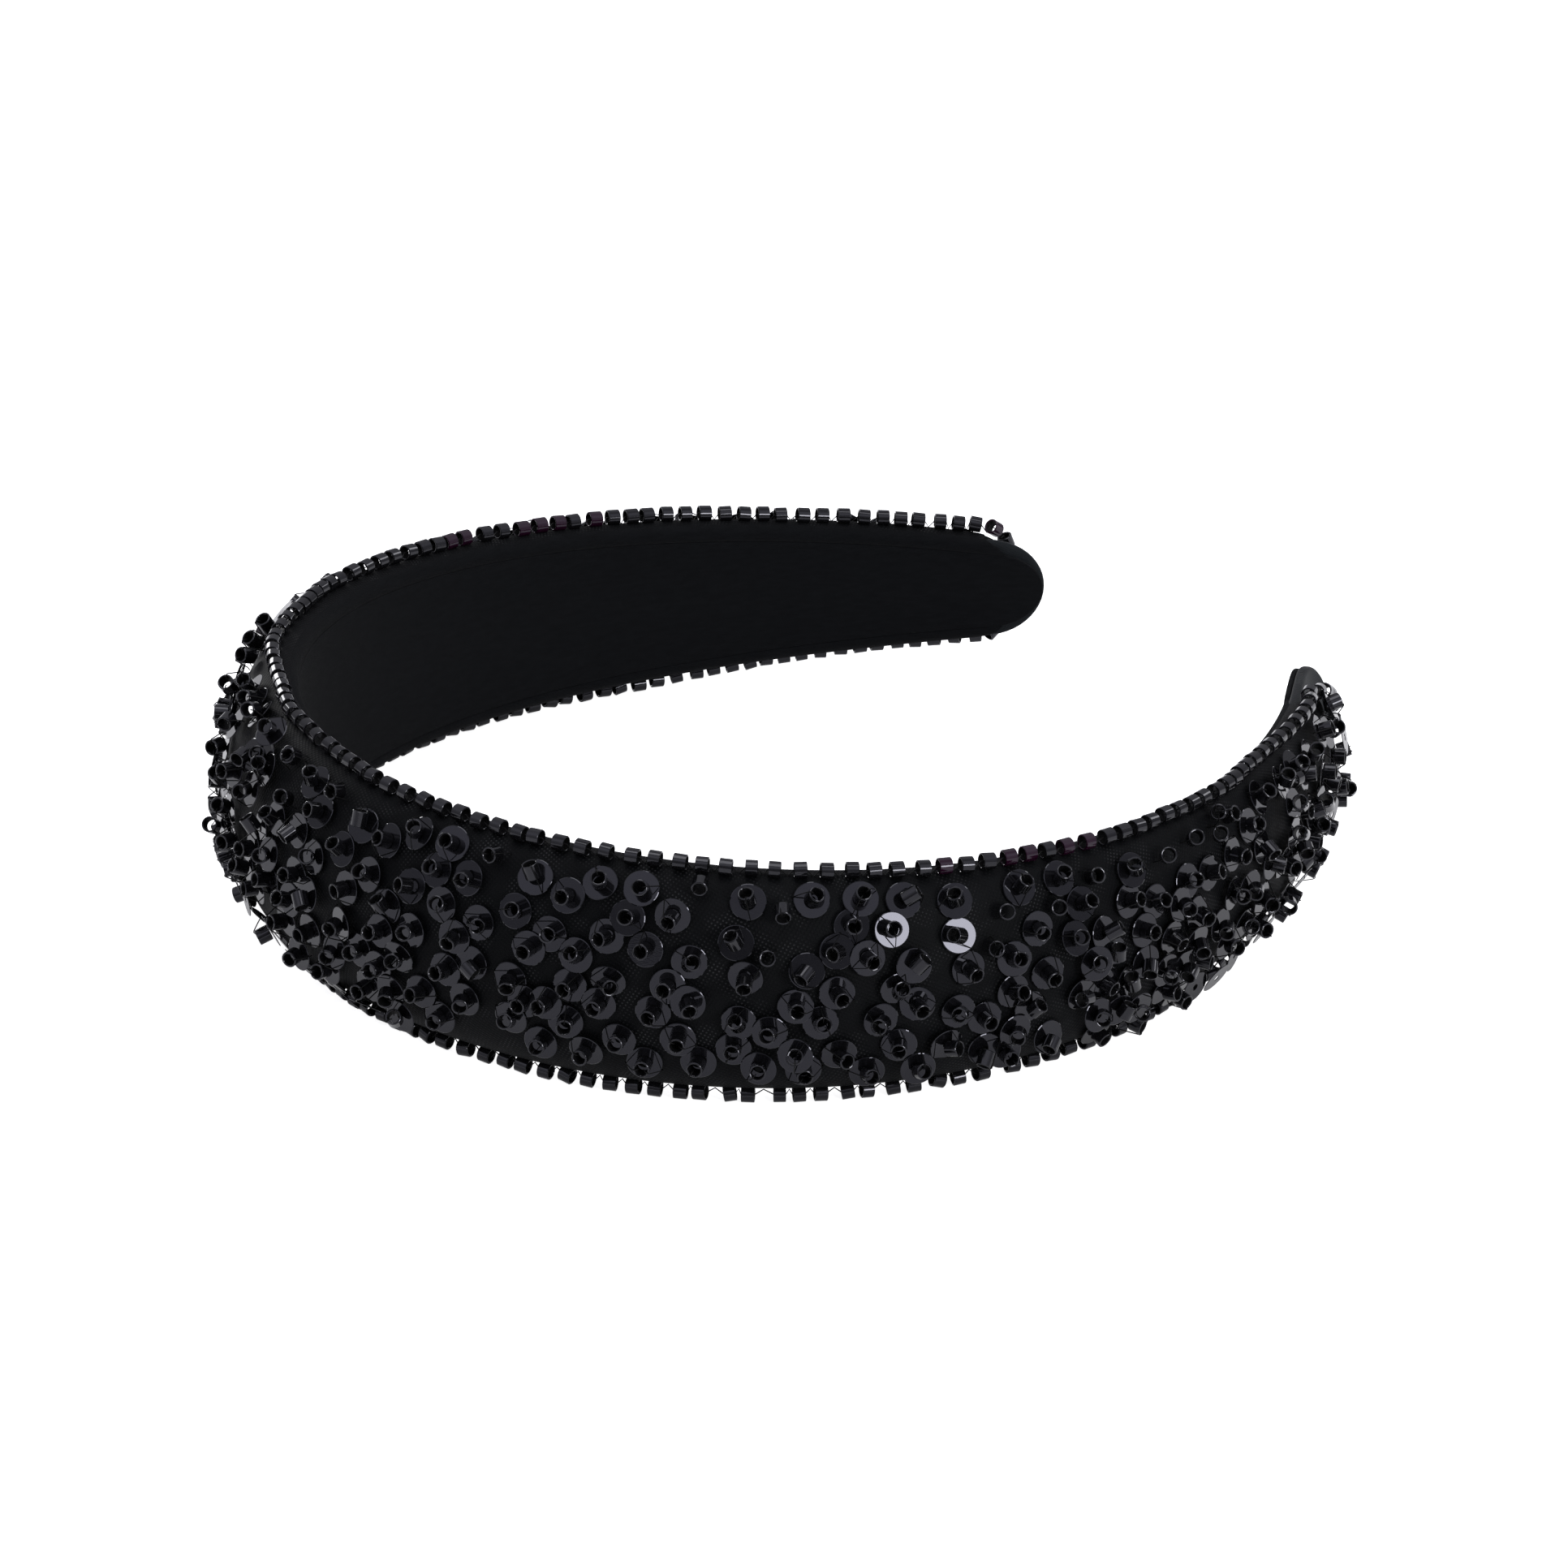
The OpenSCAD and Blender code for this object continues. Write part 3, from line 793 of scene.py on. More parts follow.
def swollen(stitches):
    """How deep the cover lies under its full shape over a grid of s and t, by simulation."""
    s, t = np.meshgrid(SIM_S, SIM_T, indexing="ij")
    full = cover(s, t)
    out = edge_normal(s, t)
    start = full - SLACK * np.sin(t)[..., None] ** 0.5 * out
    mesh = bpy.data.meshes.new("cover_trial")
    mesh.from_pydata((start.reshape(-1, 3) * SIM_SCALE).tolist(), [],
                     grid_faces(*s.shape, False).tolist())
    trial = linked("cover_trial", mesh)
    held = np.zeros(s.shape, bool)
    held[[0, -1]] = held[:, [0, -1]] = True
    row = np.abs(SIM_S[:, None] - stitches[:, 0]).argmin(0)
    column = np.abs(SIM_T[:, None] - stitches[:, 1]).argmin(0)
    held[row, column] = True
    pins = trial.vertex_groups.new(name="pins")
    pins.add(np.flatnonzero(held.ravel()).tolist(), 1.0, "REPLACE")
    cloth = trial.modifiers.new("cloth", "CLOTH")
    for key, value in SIM_CLOTH.items():
        setattr(cloth.settings, key, value)
    cloth.settings.effector_weights.gravity = 0
    cloth.point_cache.frame_start = 1
    cloth.point_cache.frame_end = SIM_FRAMES
    for step in range(1, SIM_FRAMES + 1):
        bpy.context.scene.frame_set(step)
    shaped = trial.evaluated_get(bpy.context.evaluated_depsgraph_get())
    co = np.empty(s.size * 3, np.float32)
    shaped.data.vertices.foreach_get("co", co)
    bpy.data.objects.remove(trial)
    bpy.data.meshes.remove(mesh)
    bpy.context.scene.frame_set(1)
    rise = ((co.reshape(*s.shape, 3) / SIM_SCALE - full) * out).sum(-1)
    return (-rise).clip(0, SLACK * 1.6)


def sunk(depth, s, t):
    """Depth of the swollen cover at s and t, from the grid of its simulation."""
    f = ((s - SIM_S[0]) / (SIM_S[1] - SIM_S[0])).clip(0, len(SIM_S) - 1.001)
    g = (t / (SIM_T[1] - SIM_T[0])).clip(0, len(SIM_T) - 1.001)
    i, j = f.astype(int), g.astype(int)
    f, g = f - i, g - j
    return ((1 - f) * ((1 - g) * depth[i, j] + g * depth[i, j + 1])
            + f * ((1 - g) * depth[i + 1, j] + g * depth[i + 1, j + 1]))


ROWS = 61
HEM_FROM = -1.8
HEM_ROLL = 1.5
# Shares of the cover's height and wrap that are left at the last ring of its rounded ends
END_HEIGHT = 0.65
END_WRAP = 0.55


def cover_section(w, h, inner):
    """u and v of the cover's closed section: crown, one wrapped edge, the hoop and back."""
    t = np.linspace(0, math.pi, ROWS)
    hem, mouth = LINING_INNER + 0.03, inner - GAP - HEM_INSET
    roll = np.radians(np.linspace(0, 90, 8))
    side_u = [-0.5, *(-1.0 + (hem + 1.0) * np.sin(roll)), hem, -2.6, -2.5, -2.5, -1.6, -0.8]
    side_v = [w, *(w - HEM_ROLL * (1 - np.cos(roll))), mouth, mouth, mouth + 0.1]
    side_v += [inner] * 3
    u = [*(h * np.sin(t)), *side_u, *side_u[::-1]]
    v = [*(w * np.cos(t)), *[-x for x in side_v], *side_v[::-1]]
    return np.array(u), np.array(v)


depth = swollen(np.concatenate([sewn, loose]))
end_angles = np.radians(np.linspace(90, 0, 8))
ends = [(PAD_END - END_ROUND * (1 - math.sin(a)), END_HEIGHT + (1 - END_HEIGHT) * math.cos(a),
         END_WRAP + (1 - END_WRAP) * math.cos(a)) for a in end_angles]
stop = PAD_END - END_ROUND - 0.8
run = np.linspace(-stop, stop, 521)
sections = [(-s, h, w) for s, h, w in ends] + [(s, 1, 1) for s in run] + ends[::-1]
rings = []
angle = np.linspace(0, math.pi, ROWS)
for s, share, wrap in sections:
    s += PAD_SHIFT
    w = half_w(s) - WRAP * (1 - wrap)
    u, v = cover_section(w, pad_h(s) * share, half_w(s) - WRAP)
    sink = np.zeros(len(u))
    sink[:ROWS] = sunk(depth, np.full(ROWS, s), angle)
    rings.append((s + held_back(s, v / w), u, v, sink))
ring_s, ring_u, ring_v, ring_sink = map(np.array, zip(*rings))
n, m = ring_s.shape
inward = np.zeros((n, m, 3))
inward[:, :ROWS] = -edge_normal(ring_s[:, :ROWS], angle[None])
points = place(ring_s, ring_u, ring_v) + ring_sink[..., None] * inward
around = np.concatenate([np.zeros((n, 1)), np.cumsum(sizes(np.diff(points, axis=1)), 1)], 1)
uv = np.stack([ring_s, around - around[:, ROWS // 2][:, None]], -1).reshape(-1, 2)
faces = [list(f) for f in grid_faces(n, m, True)]
faces += [list(range(m))[::-1], list(range((n - 1) * m, n * m))]
middle_u = (ring_u + np.roll(ring_u, -1, 1))[:-1] / 2
hem_faces = (middle_u < HEM_FROM).astype(int).ravel()
padding = tidy(piece("padded_cover", points.reshape(-1, 3), faces, [COVER_CLOTH, VELVET], uv,
                     slots=np.concatenate([hem_faces, [0, 0]])))
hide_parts("padding")
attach(padding, "root")

# Sequins: each lies on the cover and on its earlier neighbours

ROUND = np.linspace(0, 2 * math.pi, 20, endpoint=False)
SEQUIN_FLOOR_GAP = 0.15
TILT, MOST_TILT = math.radians(8), math.radians(17)


def ring_of(centre, axis, radius):
    """Points round a circle about an axis."""
    a, b, _ = axes_for(axis[None], np.zeros(1))[0].T
    return centre + radius * (np.cos(ROUND)[:, None] * a + np.sin(ROUND)[:, None] * b)


def over(points, centre, axis, radius):
    """Heights of points above a disc's plane, of those that lie over or under the disc."""
    d = points - centre
    h = d @ axis
    return h[sizes(d - h[:, None] * axis) < radius]


def settled(st, bright):
    """Middles and axes of sequins that lie on the cover, each clear of the earlier ones. The
    bright ones tilt so that they mirror the light on the right."""
    normal = cover_normal(*st.T)
    tilt = np.abs(rng.normal(0, TILT, len(st))).clip(0, MOST_TILT)
    lean = axes_for(normal, rng.uniform(0, 2 * math.pi, len(st)))[:, :, 0]
    back_lean = np.where(hidden(st), 0, low_tilt(st[:, 1]))
    upward = unit(np.array([0, 0, 1.0]) - normal[:, 2:] * normal)
    axis = unit(normal + np.tan(tilt)[:, None] * lean + np.tan(back_lean)[:, None] * upward)
    half_way = unit(unit(EYE - cover(*st.T)) + unturned(np.array(way_to(*LIGHT_RIGHT))))
    axis = np.where(bright[:, None], half_way, axis)
    lift = lifted(np.arccos((axis * normal).sum(-1).clip(-1, 1)))
    middle = cover(*st.T) + lift[:, None] * normal
    low = rest(middle)[:, 2] / MM - SEQUIN_R * np.sqrt(1 - turned(axis)[:, 2] ** 2)
    middle += (SEQUIN_FLOOR_GAP - low).clip(0)[:, None] * UPWARD
    for i in range(1, len(st)):
        near = np.flatnonzero(sizes(middle[:i] - middle[i]) < 2 * SEQUIN_R)
        for _ in range(4):
            mine = ring_of(middle[i], axis[i], SEQUIN_R)
            need = 0.0
            for j in near:
                above = over(mine, middle[j], axis[j], SEQUIN_R)
                below = over(ring_of(middle[j], axis[j], SEQUIN_R), middle[i], axis[i], SEQUIN_R)
                need = max([need, *(DISC_GAP - above), *(DISC_GAP + below)])
            if need < 0.005:
                break
            middle[i] += min(need, 0.5) * normal[i]
    return middle, axis


order = rng.permutation(count)
sequin_at, sequin_axis = np.empty((count, 3)), np.empty((count, 3))
bright = np.zeros(count, bool)
bright[:len(traced)] = [tuple(row[:2]) in BRIGHT_SEEN for row in traced]
sequin_at[order], sequin_axis[order] = settled(sewn[order], bright[order])
profile = [
    (SEQUIN_HOLE_R, -SEQUIN_HALF_T), (SEQUIN_HOLE_R, SEQUIN_HALF_T),
    (SEQUIN_R - 0.1, SEQUIN_HALF_T), (SEQUIN_R, 0.0), (SEQUIN_R - 0.05, -SEQUIN_HALF_T),
]
turns = axes_for(sequin_axis, rng.uniform(0, 6.28, count))
points, faces = copies(lathe(profile, 36), np.concatenate([turns, sequin_at[:, :, None]], 2))
sequins = piece("sequin_discs", points, faces, [SEQUIN_BLACK], smooth=False)
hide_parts("sequins")
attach(sequins, "root")

# Beads that are sewn on the field, with and without a sequin


def bead_profile(length):
    h, rim = length / 2, 0.08
    return [
        (BEAD_HOLE_R, -h + rim), (BEAD_HOLE_R, h - rim),
        (BEAD_HOLE_R + 0.05, h - 0.02), ((BEAD_R + BEAD_HOLE_R) / 2, h),
        (BEAD_R - 0.05, h - 0.03), (BEAD_R, h - rim),
        (BEAD_R, -h + rim), (BEAD_R - 0.05, -h + 0.03),
        ((BEAD_R + BEAD_HOLE_R) / 2, -h), (BEAD_HOLE_R + 0.05, -h + 0.02),
    ]


# Bevels of beads are shaded apart from their sides
BEVEL_ANGLE = math.radians(32)


def beads(name, at, axis, spin, length, violet):
    """A piece of tube beads with their own lengths, each in black or in violet glass. Their bores
    are lined with thread: partly the thread that runs through, partly painted shade that keeps the
    holes dark."""
    scale = np.stack([np.ones_like(length), np.ones_like(length), length / 2], 1)
    turns = axes_for(axis, spin) * scale[:, None, :]
    profile = bead_profile(2.0)
    points, faces = copies(lathe(profile, 18), np.concatenate([turns, at[:, :, None]], 2))
    slots = np.repeat(np.asarray(violet, int), len(faces) // len(at)).reshape(-1, len(profile))
    # Bore faces take the matte thread material: partly the real thread inside, partly painted
    # shade inside the hole
    slots[:, 0] = 2
    made = piece(name, points, faces, [BEAD_BLACK, BEAD_VIOLET, THREAD], slots=slots.ravel())
    made.data.set_sharp_from_angle(angle=BEVEL_ANGLE)
    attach(made, "root")
    return made


VIOLET_SHARE = 0.004
UNSEEN_LENGTH = 0.85
LEAN, MOST_LEAN = math.radians(32), math.radians(85)
LYING_SHARE, LEAST_LYING = 0.2, math.radians(60)
EDGE_LEAN = math.radians(70)
EDGE_STEEP = 0.45
EDGE_STICKS_OUT = 0.2
PEEK_POINTS = 24
NEAR = 6
LEAST_RISE = 0.06
FOOT_GAP = 0.03
FOOT_BACK = 0.25

# How much counts against a bead's lean: each mm that it goes below the floor or past the band's
# edge, each point past the outline, each point that cuts a sequin, and a sequin cut right through
FLOOR_COUNTS = 5
EDGE_COUNTS = 3
OUTLINE_COUNTS = 0.15
CUT_COUNTS = 0.1
THROUGH_COUNTS = 0.2
CLEAN = 0.02
base_s = np.concatenate([sewn, loose])[:, 0]
base_at = np.concatenate([sequin_at, cover(*loose.T)])
base_axis = np.concatenate([sequin_axis, cover_normal(*loose.T)])
total = len(base_at)
length = rng.uniform(0.9, 1.12, total) * BEAD_LENGTH
length[len(traced):count] *= UNSEEN_LENGTH
VIEW_RIGHT, VIEW_UP, VIEW_BACK = (unturned(way) for way in (right, up, back))


def traced_axis(k, row):
    """Axis of a bead whose row of readings ends with its free end in the photograph."""
    reach = length[k] + 0.2
    at, scale = seen_at(base_at[k])
    across, down = (row[:2] + row[2:] - at) / scale
    flat = across * VIEW_RIGHT - down * VIEW_UP
    flat = flat * min(1, 0.97 * reach / np.linalg.norm(flat))
    return unit(flat + math.sqrt(reach ** 2 - flat @ flat) * VIEW_BACK)


def random_axis(k):
    """A lean to any side. Near an edge of the band it is a lean towards the cover's middle."""
    lean = abs(rng.normal(0, LEAN))
    if rng.random() < LYING_SHARE:
        lean = rng.uniform(LEAST_LYING, MOST_LEAN)
    way = off(base_axis[k], rng.uniform(0, 2 * math.pi))
    steep = abs(base_axis[k][2])
    if steep > EDGE_STEEP:
        inward = np.array([0, 0, -np.sign(base_axis[k][2])])
        inward = unit(inward - (inward @ base_axis[k]) * base_axis[k])
        way = unit(0.5 * way + inward)
        lean = max(lean, EDGE_LEAN * (steep - EDGE_STEEP) / (1 - EDGE_STEEP))
    lean = min(lean, MOST_LEAN)
    return base_axis[k] * math.cos(lean) + way * math.sin(lean)


def bead_ends(k, axis):
    """Sewn end and free end of a bead that stands on its base and leans to axis."""
    up_part = max(axis @ base_axis[k], LEAST_RISE)
    axis = unit(axis + base_axis[k] * (up_part - axis @ base_axis[k]))
    lean = math.sqrt(max(0.0, 1 - up_part * up_part))
    foot = base_at[k] + (SEQUIN_HALF_T + FOOT_GAP + BEAD_R * lean) * base_axis[k]
    foot = foot - FOOT_BACK * lean * axis
    return foot, foot + length[k] * axis


def rims_of(foot, tip):
    """Points round a bead at both ends and in its middle."""
    axis = unit(tip - foot)
    return np.concatenate([ring_of(foot + f * (tip - foot), axis, BEAD_R) for f in (0, 0.5, 1)])


def bead_clash(k, foot, tip):
    """How badly a bead cuts sequins, the floor and the beads that are already sewn on, and how
    far one that the photograph doesn't show sticks out past the band's edges and outline."""
    rims = rims_of(foot, tip)
    low = rest(rims)[:, 2].min() / MM
    past = np.abs(rims[:, 2]).max() - half_w(base_s[k]) - EDGE_STICKS_OUT
    bad = FLOOR_COUNTS * max(0.0, 0.05 - low)
    if k not in readings:
        bad += EDGE_COUNTS * max(0.0, past) + OUTLINE_COUNTS * past_outline(rims).sum()
    for j in np.flatnonzero(sizes(sequin_at - foot) < NEAR):
        if j != k:
            h = over(rims, sequin_at[j], sequin_axis[j], SEQUIN_R)
            bad += (np.abs(h) < 0.1).sum() * CUT_COUNTS
            if len(h) and h.min() * h.max() < 0:
                bad += THROUGH_COUNTS
    share = np.linspace(0, 1, 5)[:, None]
    mine = foot + share * (tip - foot)
    for j in np.flatnonzero(bead_done):
        if np.linalg.norm(bead_foot[j] - foot) < NEAR:
            theirs = bead_foot[j] + share * (bead_tip[j] - bead_foot[j])
            gap = sizes(mine[:, None] - theirs[None]).min()
            bad += max(0.0, 2 * BEAD_R - gap)
    return bad


bead_foot, bead_tip = np.zeros((total, 3)), np.zeros((total, 3))
bead_done = np.zeros(total, bool)
readings = dict(enumerate(traced))
readings.update({count + k: row for k, row in enumerate(traced_loose)})
for k in [*readings, *(k for k in range(total) if k not in readings)]:
    if k in readings:
        first = traced_axis(k, readings[k])
        tries = [unit(first * (1 - f) + base_axis[k] * f) for f in (0, 0.2, 0.4, 0.6, 0.8)]
    else:
        tries = [random_axis(k) for _ in range(30)]
    best = None
    for axis in tries:
        foot, tip = bead_ends(k, axis)
        bad = bead_clash(k, foot, tip)
        if best is None or bad < best[0] - 0.05:
            best = (bad, foot, tip)
        if best[0] < CLEAN:
            break
    bead_foot[k], bead_tip[k] = best[1:]
    bead_done[k] = k in readings or past_outline(rims_of(*best[1:])).sum() < PEEK_POINTS

bead_axis = unit(bead_tip - bead_foot)
violet = (rng.random(total) < VIOLET_SHARE) & (np.arange(total) >= len(traced))
beads("field_beads", ((bead_foot + bead_tip) / 2)[bead_done], bead_axis[bead_done],
      rng.uniform(0, 6.28, total)[bead_done], length[bead_done], violet[bead_done])


def stitch(k, way, reach):
    """Path of a thread: out of the bead's free end, over its rim and down into the cover."""
    axis = bead_axis[k]
    side = unit(way - (way @ axis) * axis)
    flat = unit(way - (way @ base_axis[k]) * base_axis[k])
    tip = bead_tip[k]
    end = base_at[k] + reach * flat
    return [
        tip - 0.5 * axis + 0.3 * side, tip - 0.05 * axis + 0.6 * side,
        tip + 0.1 * axis + 0.95 * side, tip - 0.06 * axis + (BEAD_R + 0.08) * side,
        (tip + (BEAD_R + 0.08) * side + end) / 2 + 0.05 * base_axis[k],
        end + 0.1 * base_axis[k], end + 0.12 * flat - 0.35 * base_axis[k],
    ]


threads = []
for k in np.flatnonzero(bead_done):
    start = rng.uniform(0, 2 * math.pi)
    for turn in ([0, 2.6] if rng.random() < 0.45 else [0]):
        way = off(base_axis[k], start + turn)
        reach = SEQUIN_R + 0.08 if k < count else BEAD_R + 0.5
        threads.append(tube(stitch(k, way, reach), THREAD_R, 4))
points, faces = joined(threads)
threads = piece("field_threads", points, faces, [THREAD])
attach(threads, "root")

# Beaded edging: one string of tube beads along each long edge

EDGING_OUT = 0.3
EDGING_LIFT = {1: 0.9, -1: 0.7}
EDGING_PAST = 0.8
EDGING_END_DROP = 0.8
EDGING_PITCH = 2.95
EDGING_ROOM = 1.3
EDGING_SWAY = (-1.1, 0.45)
EDGING_LENGTH = (1.62, 1.86)
STRING_R = 0.09
FLOOR_GAP = 0.02
SAG_AT = [-165, -150, -140, -133, -122, -95, -85, -40, 60, 100]
SAG = [-0.3, 0.1, 0.5, 0.6, 0.4, 0.4, 0.1, 0.2, 0.2, 0.0]

# Middles of the strings' beads, read from the photograph, in its pixels: x and y
UPPER_SEEN = [
    (1224, 650), (1202, 646), (1181, 646), (1158, 643), (1131, 641), (1109, 640), (1086, 639),
    (1062, 638), (1038, 637), (1011, 636), (988, 636), (961, 635), (939, 634), (915, 634),
    (892, 634), (867, 634), (843, 634), (820, 634), (797, 636), (776, 637), (754, 638),
    (731, 641), (705, 644), (686, 646), (664, 650), (642, 652), (617, 655), (596, 660),
    (571, 665), (553, 669), (537, 673), (520, 677), (503, 682), (484, 686), (468, 692),
    (450, 698), (433, 704), (417, 712), (405, 717), (395, 723), (387, 733), (380, 740),
    (371, 746), (362, 752), (353, 761), (344, 771), (337, 782), (334, 792), (335, 802),
    (338, 811), (341, 820), (342, 829), (345, 838), (351, 845), (350, 855), (354, 865),
    (360, 875), (369, 885), (380, 894), (392, 905), (407, 916), (420, 926), (433, 937),
    (448, 950), (461, 960), (481, 970), (501, 980), (526, 988), (546, 996), (569, 1004),
    (592, 1012), (615, 1021), (641, 1032), (661, 1036), (691, 1041), (718, 1048), (748, 1053),
    (780, 1057), (808, 1060), (839, 1063), (866, 1066), (894, 1069), (926, 1070), (955, 1071),
    (987, 1072), (1018, 1073), (1050, 1072), (1077, 1073), (1105, 1073), (1137, 1072),
    (1162, 1071), (1189, 1069), (1216, 1064), (1242, 1056), (1266, 1054), (1290, 1045),
    (1312, 1042), (1338, 1040), (1362, 1037), (1382, 1031), (1400, 1020), (1416, 1012),
    (1435, 1006), (1451, 997), (1468, 992), (1481, 984), (1498, 974), (1510, 966), (1519, 957),
    (1528, 947), (1535, 939), (1544, 931), (1554, 923), (1565, 916), (1575, 908), (1586, 900),
    (1596, 892), (1604, 884), (1612, 875), (1618, 866), (1624, 859), (1631, 852), (1639, 848),
]
LOWER_FAR_SEEN = [
    (1177, 790), (1150, 789), (1128, 791), (1105, 793), (1081, 795), (1059, 797), (1036, 799),
    (1011, 803), (987, 806), (966, 810), (944, 813), (924, 817), (902, 820), (880, 824),
    (858, 828), (833, 832), (808, 836), (787, 840), (761, 845), (743, 850), (720, 854),
    (697, 859), (677, 863), (656, 868), (635, 874), (615, 880), (594, 887), (575, 892),
    (556, 898), (537, 906), (518, 914), (498, 922), (480, 930), (463, 940),
]
LOWER_FRONT_SEEN = [
    (574, 1291), (599, 1300), (622, 1308), (646, 1311), (674, 1316), (699, 1323), (726, 1328),
    (753, 1331), (781, 1338), (808, 1340), (839, 1343), (863, 1345), (899, 1347), (921, 1347),
    (960, 1348), (985, 1346), (1012, 1347), (1044, 1343), (1068, 1341), (1100, 1340),
    (1125, 1336), (1155, 1333), (1180, 1329), (1208, 1321), (1247, 1311),
]

VIOLET_SEEN = [
    (1224, 650), (731, 641), (686, 646), (664, 650), (642, 652), (571, 665), (553, 669),
    (1162, 1071), (1242, 1056), (1266, 1054), (1312, 1042), (1338, 1040),
]


def edging_path(side):
    """The line along which a string of beads lies, from the middle of one end to that of the
    other: its s, its points, and its direction away from the cover."""
    turn = np.radians(np.linspace(90, 4, 24))
    run = np.linspace(-PAD_END, PAD_END, 3000)[1:-1] + PAD_SHIFT
    t_run = np.arcsin(EDGING_OUT / pad_h(run))
    ends = [end * (PAD_END + EDGING_PAST) + PAD_SHIFT
            - end * CORNER_BACK[end] * np.cos(turn) ** CORNER_POWER for end in (-1, 1)]
    inside = (run > ends[0].max() + 2) & (run < ends[1].min() - 2)
    s = np.concatenate([ends[0], run[inside], ends[1][::-1]])
    t = np.concatenate([turn, t_run[inside], turn[::-1]])
    out = cover_normal(s, t)
    line = cover(s, t) + (EDGING_LIFT[side] - EDGING_END_DROP * np.sin(t) ** 2)[:, None] * out
    line[:, 2] *= side
    out[:, 2] *= side
    if side < 0:
        line[:, 2] -= np.interp(s, SAG_AT, SAG)
    return s, line, out


def spaced(start, stop, gen):
    """Places from start towards stop, at the string's own pitch."""
    count = int(abs(stop - start) / EDGING_PITCH)
    steps = EDGING_PITCH * gen.uniform(0.93, 1.07, count)
    return start + np.sign(stop - start) * np.cumsum(steps)


def edging(name, side, seed, readings, uneven):
    """A string of beads along one long edge, at the places that were read and between them.
    Returns the piece and the path of its thread, which dips into the cover between beads."""
    gen = np.random.default_rng(seed)
    s, line, out = edging_path(side)
    run = walked(line)
    sideways = place(s, 1, 0) - place(s, 0, 0)
    at_px, shift_px = seen_at(line)[0], seen_at(line + sideways)[0]
    at, sway, tint = [], [], []
    for reading in readings:
        gap = sizes(at_px - reading)
        if at:
            gap[run < at[-1]] = np.inf
        k = gap.argmin()
        way = shift_px[k] - at_px[k]
        off = (np.array(reading) - at_px[k]) @ way / (way @ way)
        at.append(run[k])
        sway.append(np.clip(off, *EDGING_SWAY) if side > 0 else 0.0)
        tint.append(reading in VIOLET_SEEN)
    wide = np.flatnonzero(np.diff(at) > 1.7 * EDGING_PITCH)
    more = [spaced(at[0], EDGING_ROOM, gen), spaced(at[-1], run[-1] - EDGING_ROOM, gen)]
    more += [spaced(at[k], at[k + 1] - 0.7 * EDGING_PITCH, gen) for k in wide]
    more = np.concatenate(more)
    at, sway, tint = (np.concatenate([a, 0 * more + b])
                      for a, b in ((at, more), (sway, 0), (tint, 0)))
    order = at.argsort()
    at, tint = at[order], tint[order]
    sway = np.convolve(np.pad(sway[order], 1), [0.25, 0.5, 0.25], "valid")
    for k in range(1, len(at)):
        at[k] = max(at[k], at[k - 1] + EDGING_LENGTH[1] + 0.1)

    def along(q, values):
        return np.stack([np.interp(q, run, values[:, k]) for k in range(3)], 1)

    axis = unit(along(at + 0.6, line) - along(at - 0.6, line))
    axis = unit(axis + gen.normal(0, uneven, axis.shape))
    centre = along(at, line) + sway[:, None] * along(at, sideways)
    centre += gen.normal(0, 0.05, axis.shape)
    length = gen.uniform(*EDGING_LENGTH, len(at))
    slope = turned(axis)[:, 2]
    reach = BEAD_R * np.sqrt(1 - slope ** 2) + length / 2 * np.abs(slope) + FLOOR_GAP
    centre += (reach - rest(centre)[:, 2] / MM).clip(0)[:, None] * UPWARD
    made = beads(name, centre, axis, gen.uniform(0, 6.28, len(at)), length, tint > 0.5)
    half = (length / 2 + 0.03)[:, None] * axis
    dips = along((at[:-1] + at[1:]) / 2, line - (EDGING_LIFT[side] + 0.15) * out)
    path = np.stack([centre[:-1] - half[:-1], centre[:-1] + half[:-1], dips], 1).reshape(-1, 3)
    return made, np.concatenate([path, [centre[-1] - half[-1], centre[-1] + half[-1]]])


upper, upper_thread = edging("edging_beads_upper", 1, 21, UPPER_SEEN, 0.04)
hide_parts("edging_upper")
lower, lower_thread = edging("edging_beads_lower", -1, 22, LOWER_FAR_SEEN + LOWER_FRONT_SEEN, 0.1)
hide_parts("edging_lower")

points, faces = joined([tube(upper_thread, STRING_R), tube(lower_thread, STRING_R)])
strings = piece("edging_strings", points, faces, [THREAD])
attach(strings, "root")

# Floor, world and lights

mesh = bpy.data.meshes.new("floor")
mesh.from_pydata([(-6, -6, 0), (6, -6, 0), (6, 6, 0), (-6, 6, 0)], [], [(0, 1, 2, 3)])
floor = linked("floor", mesh)
floor_mat = material("floor_paper", (0.8, 0.8, 0.8), 0.9, Specular_IOR_Level=0.1,
                     Emission_Color=(1, 1, 1, 1))
seen_ray = node(floor_mat, "ShaderNodeLightPath")
feed(floor_mat, "Emission Strength", spread(floor_mat, seen_ray, "Is Camera Ray", 0.2, 0.85),
     "Result")
grain = node(floor_mat, "ShaderNodeTexNoise", Scale=300, Detail=2.0)
bumped(floor_mat, grain, "Fac", 0.05, 0.0002)
mesh.materials.append(floor_mat)

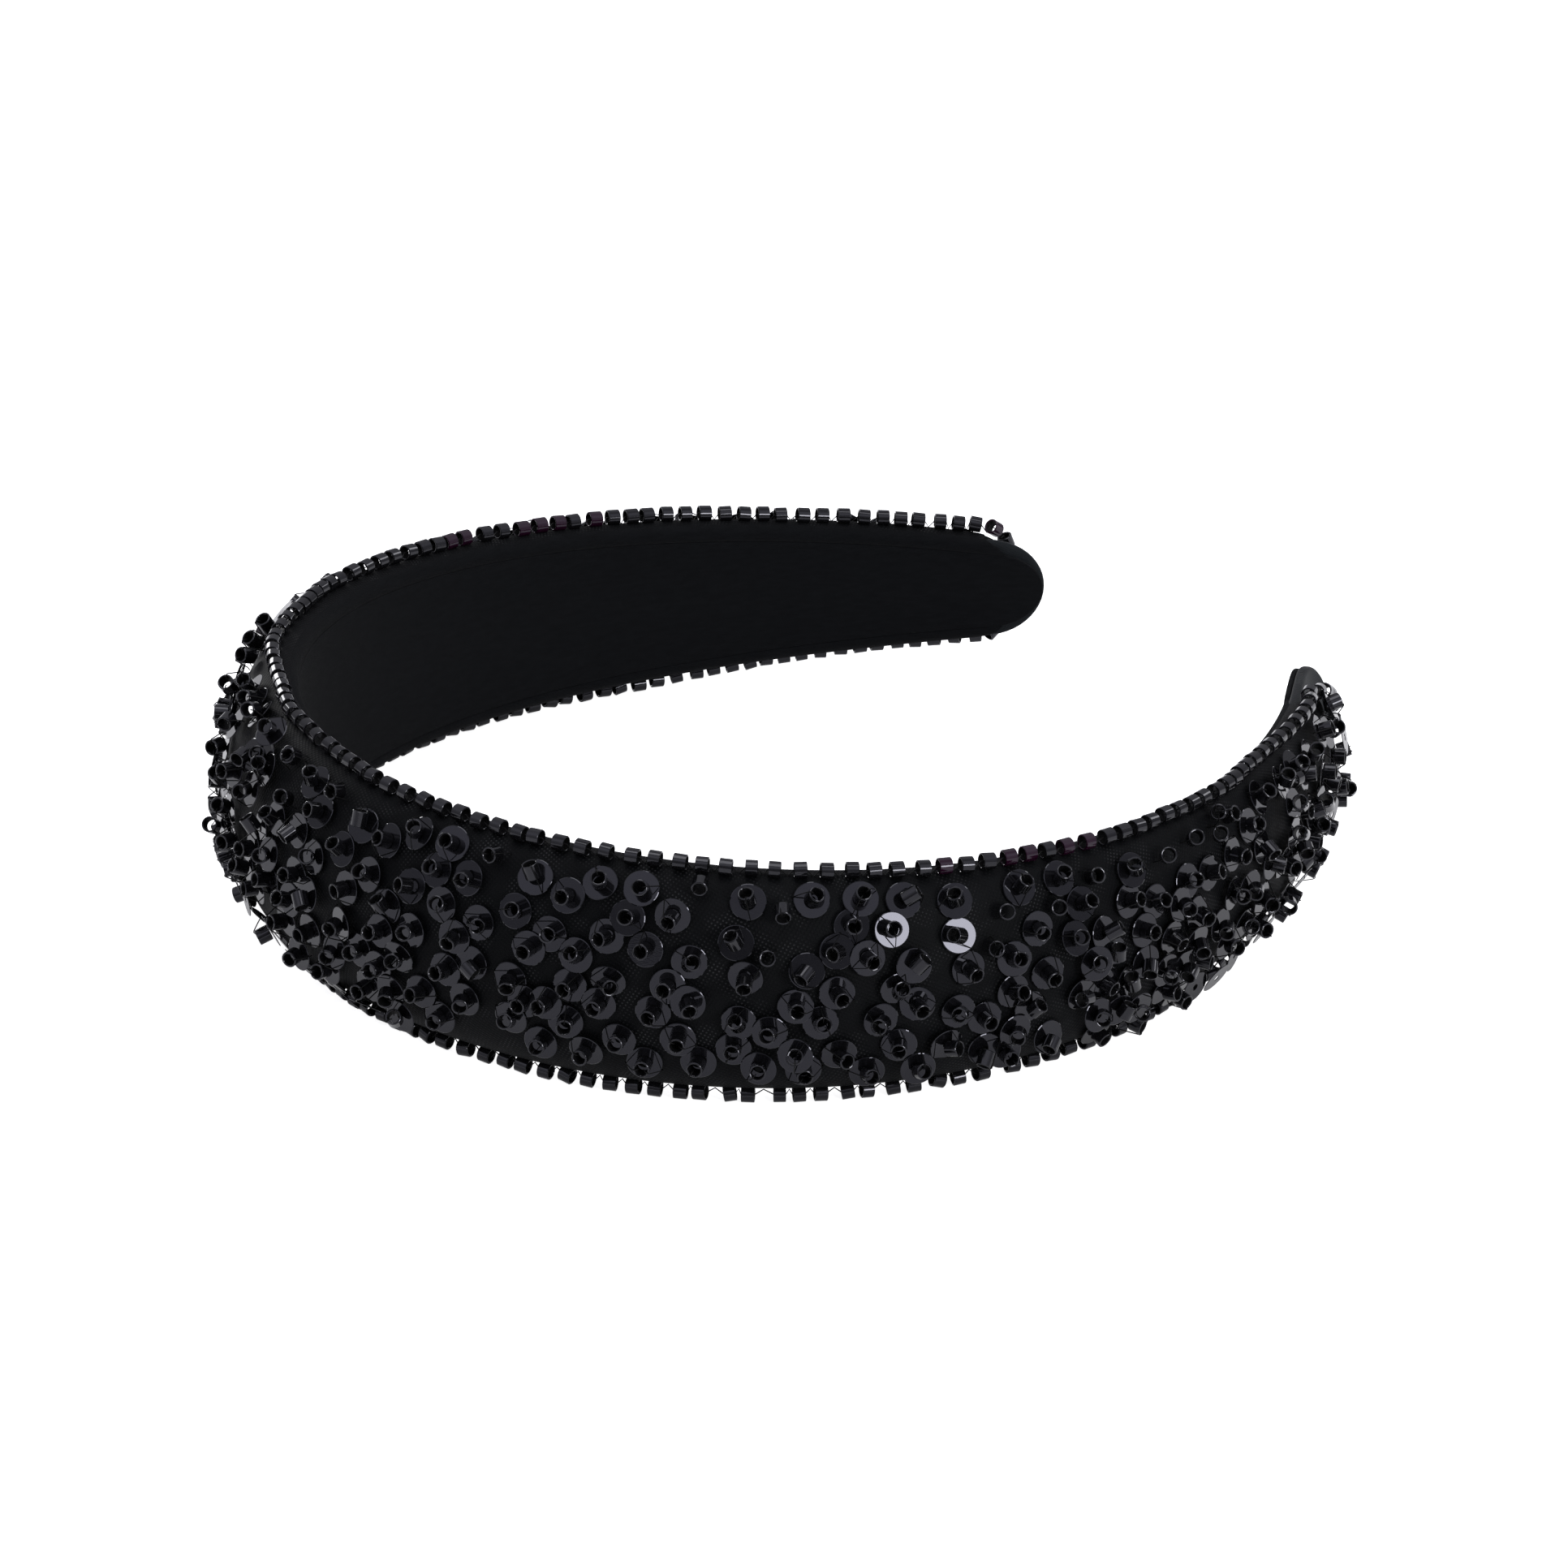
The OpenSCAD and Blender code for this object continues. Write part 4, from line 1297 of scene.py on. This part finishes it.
# Heights of the sky, from 0 at the horizon to 1 overhead, and how bright it is there
SKY = [(0.0, 0.45), (0.25, 0.47), (0.5, 0.66), (0.63, 1.0), (0.82, 1.0), (0.92, 0.45)]
SKY_TINT = np.array([0.97, 0.97, 1.06])
SKY_STRENGTH = 1.25

world = bpy.data.worlds.new("studio")
bpy.context.scene.world = world
world.use_nodes = True
coord = node(world, "ShaderNodeTexCoord")
split = node(world, "ShaderNodeSeparateXYZ", {0: (coord, "Generated")})
sky = ramp(world, split, "Z", [(at, tone * SKY_TINT) for at, tone in SKY])


def dimmed(azimuth, elevation, near, far, share):
    """A factor of the sky that is share within near degrees of a direction, and 1 beyond far."""
    dot = node(world, "ShaderNodeVectorMath", {0: (coord, "Generated")}, operation="DOT_PRODUCT")
    dot.inputs[1].default_value = way_to(azimuth, elevation)
    return spread(world, dot, "Value", 1.0, share, From_Min=math.cos(math.radians(far)),
                  From_Max=math.cos(math.radians(near)))


strength = node(world, "ShaderNodeMath", {0: (dimmed(42, 12, 16, 34, 0.42), "Result"),
                                          1: (dimmed(222, 10, 30, 110, 0.5), "Result")},
                operation="MULTIPLY")
scaled = node(world, "ShaderNodeMath", {0: (strength, "Value")}, operation="MULTIPLY")
scaled.inputs[1].default_value = SKY_STRENGTH
feed(world, "Color", sky, "Color", "Background")
feed(world, "Strength", scaled, "Value", "Background")


def softbox(name, azimuth, elevation, distance, size, radiance):
    """An area light that faces the band."""
    way = way_to(azimuth, elevation)
    data = bpy.data.lights.new(name, "AREA")
    data.shape = "RECTANGLE"
    data.size, data.size_y = size
    data.energy = radiance * math.pi * size[0] * size[1]
    lamp = linked(name, data)
    lamp.location = way * distance + Vector((0, 0, 0.02))
    lamp.rotation_mode = "QUATERNION"
    lamp.rotation_quaternion = way.to_track_quat("Z", "Y")
    lamp.visible_camera = False


softbox("light_top", 0, 88, 1.8, (1.1, 1.1), 3.2)
softbox("light_left", -104, 10, 1.6, (0.5, 0.5), 8.0)
softbox("light_right", *LIGHT_RIGHT, 1.6, (0.5, 0.42), 17.0)
softbox("light_behind", 165, 30, 1.7, (0.5, 0.3), 5.0)

bpy.context.scene.view_settings.view_transform = "Standard"
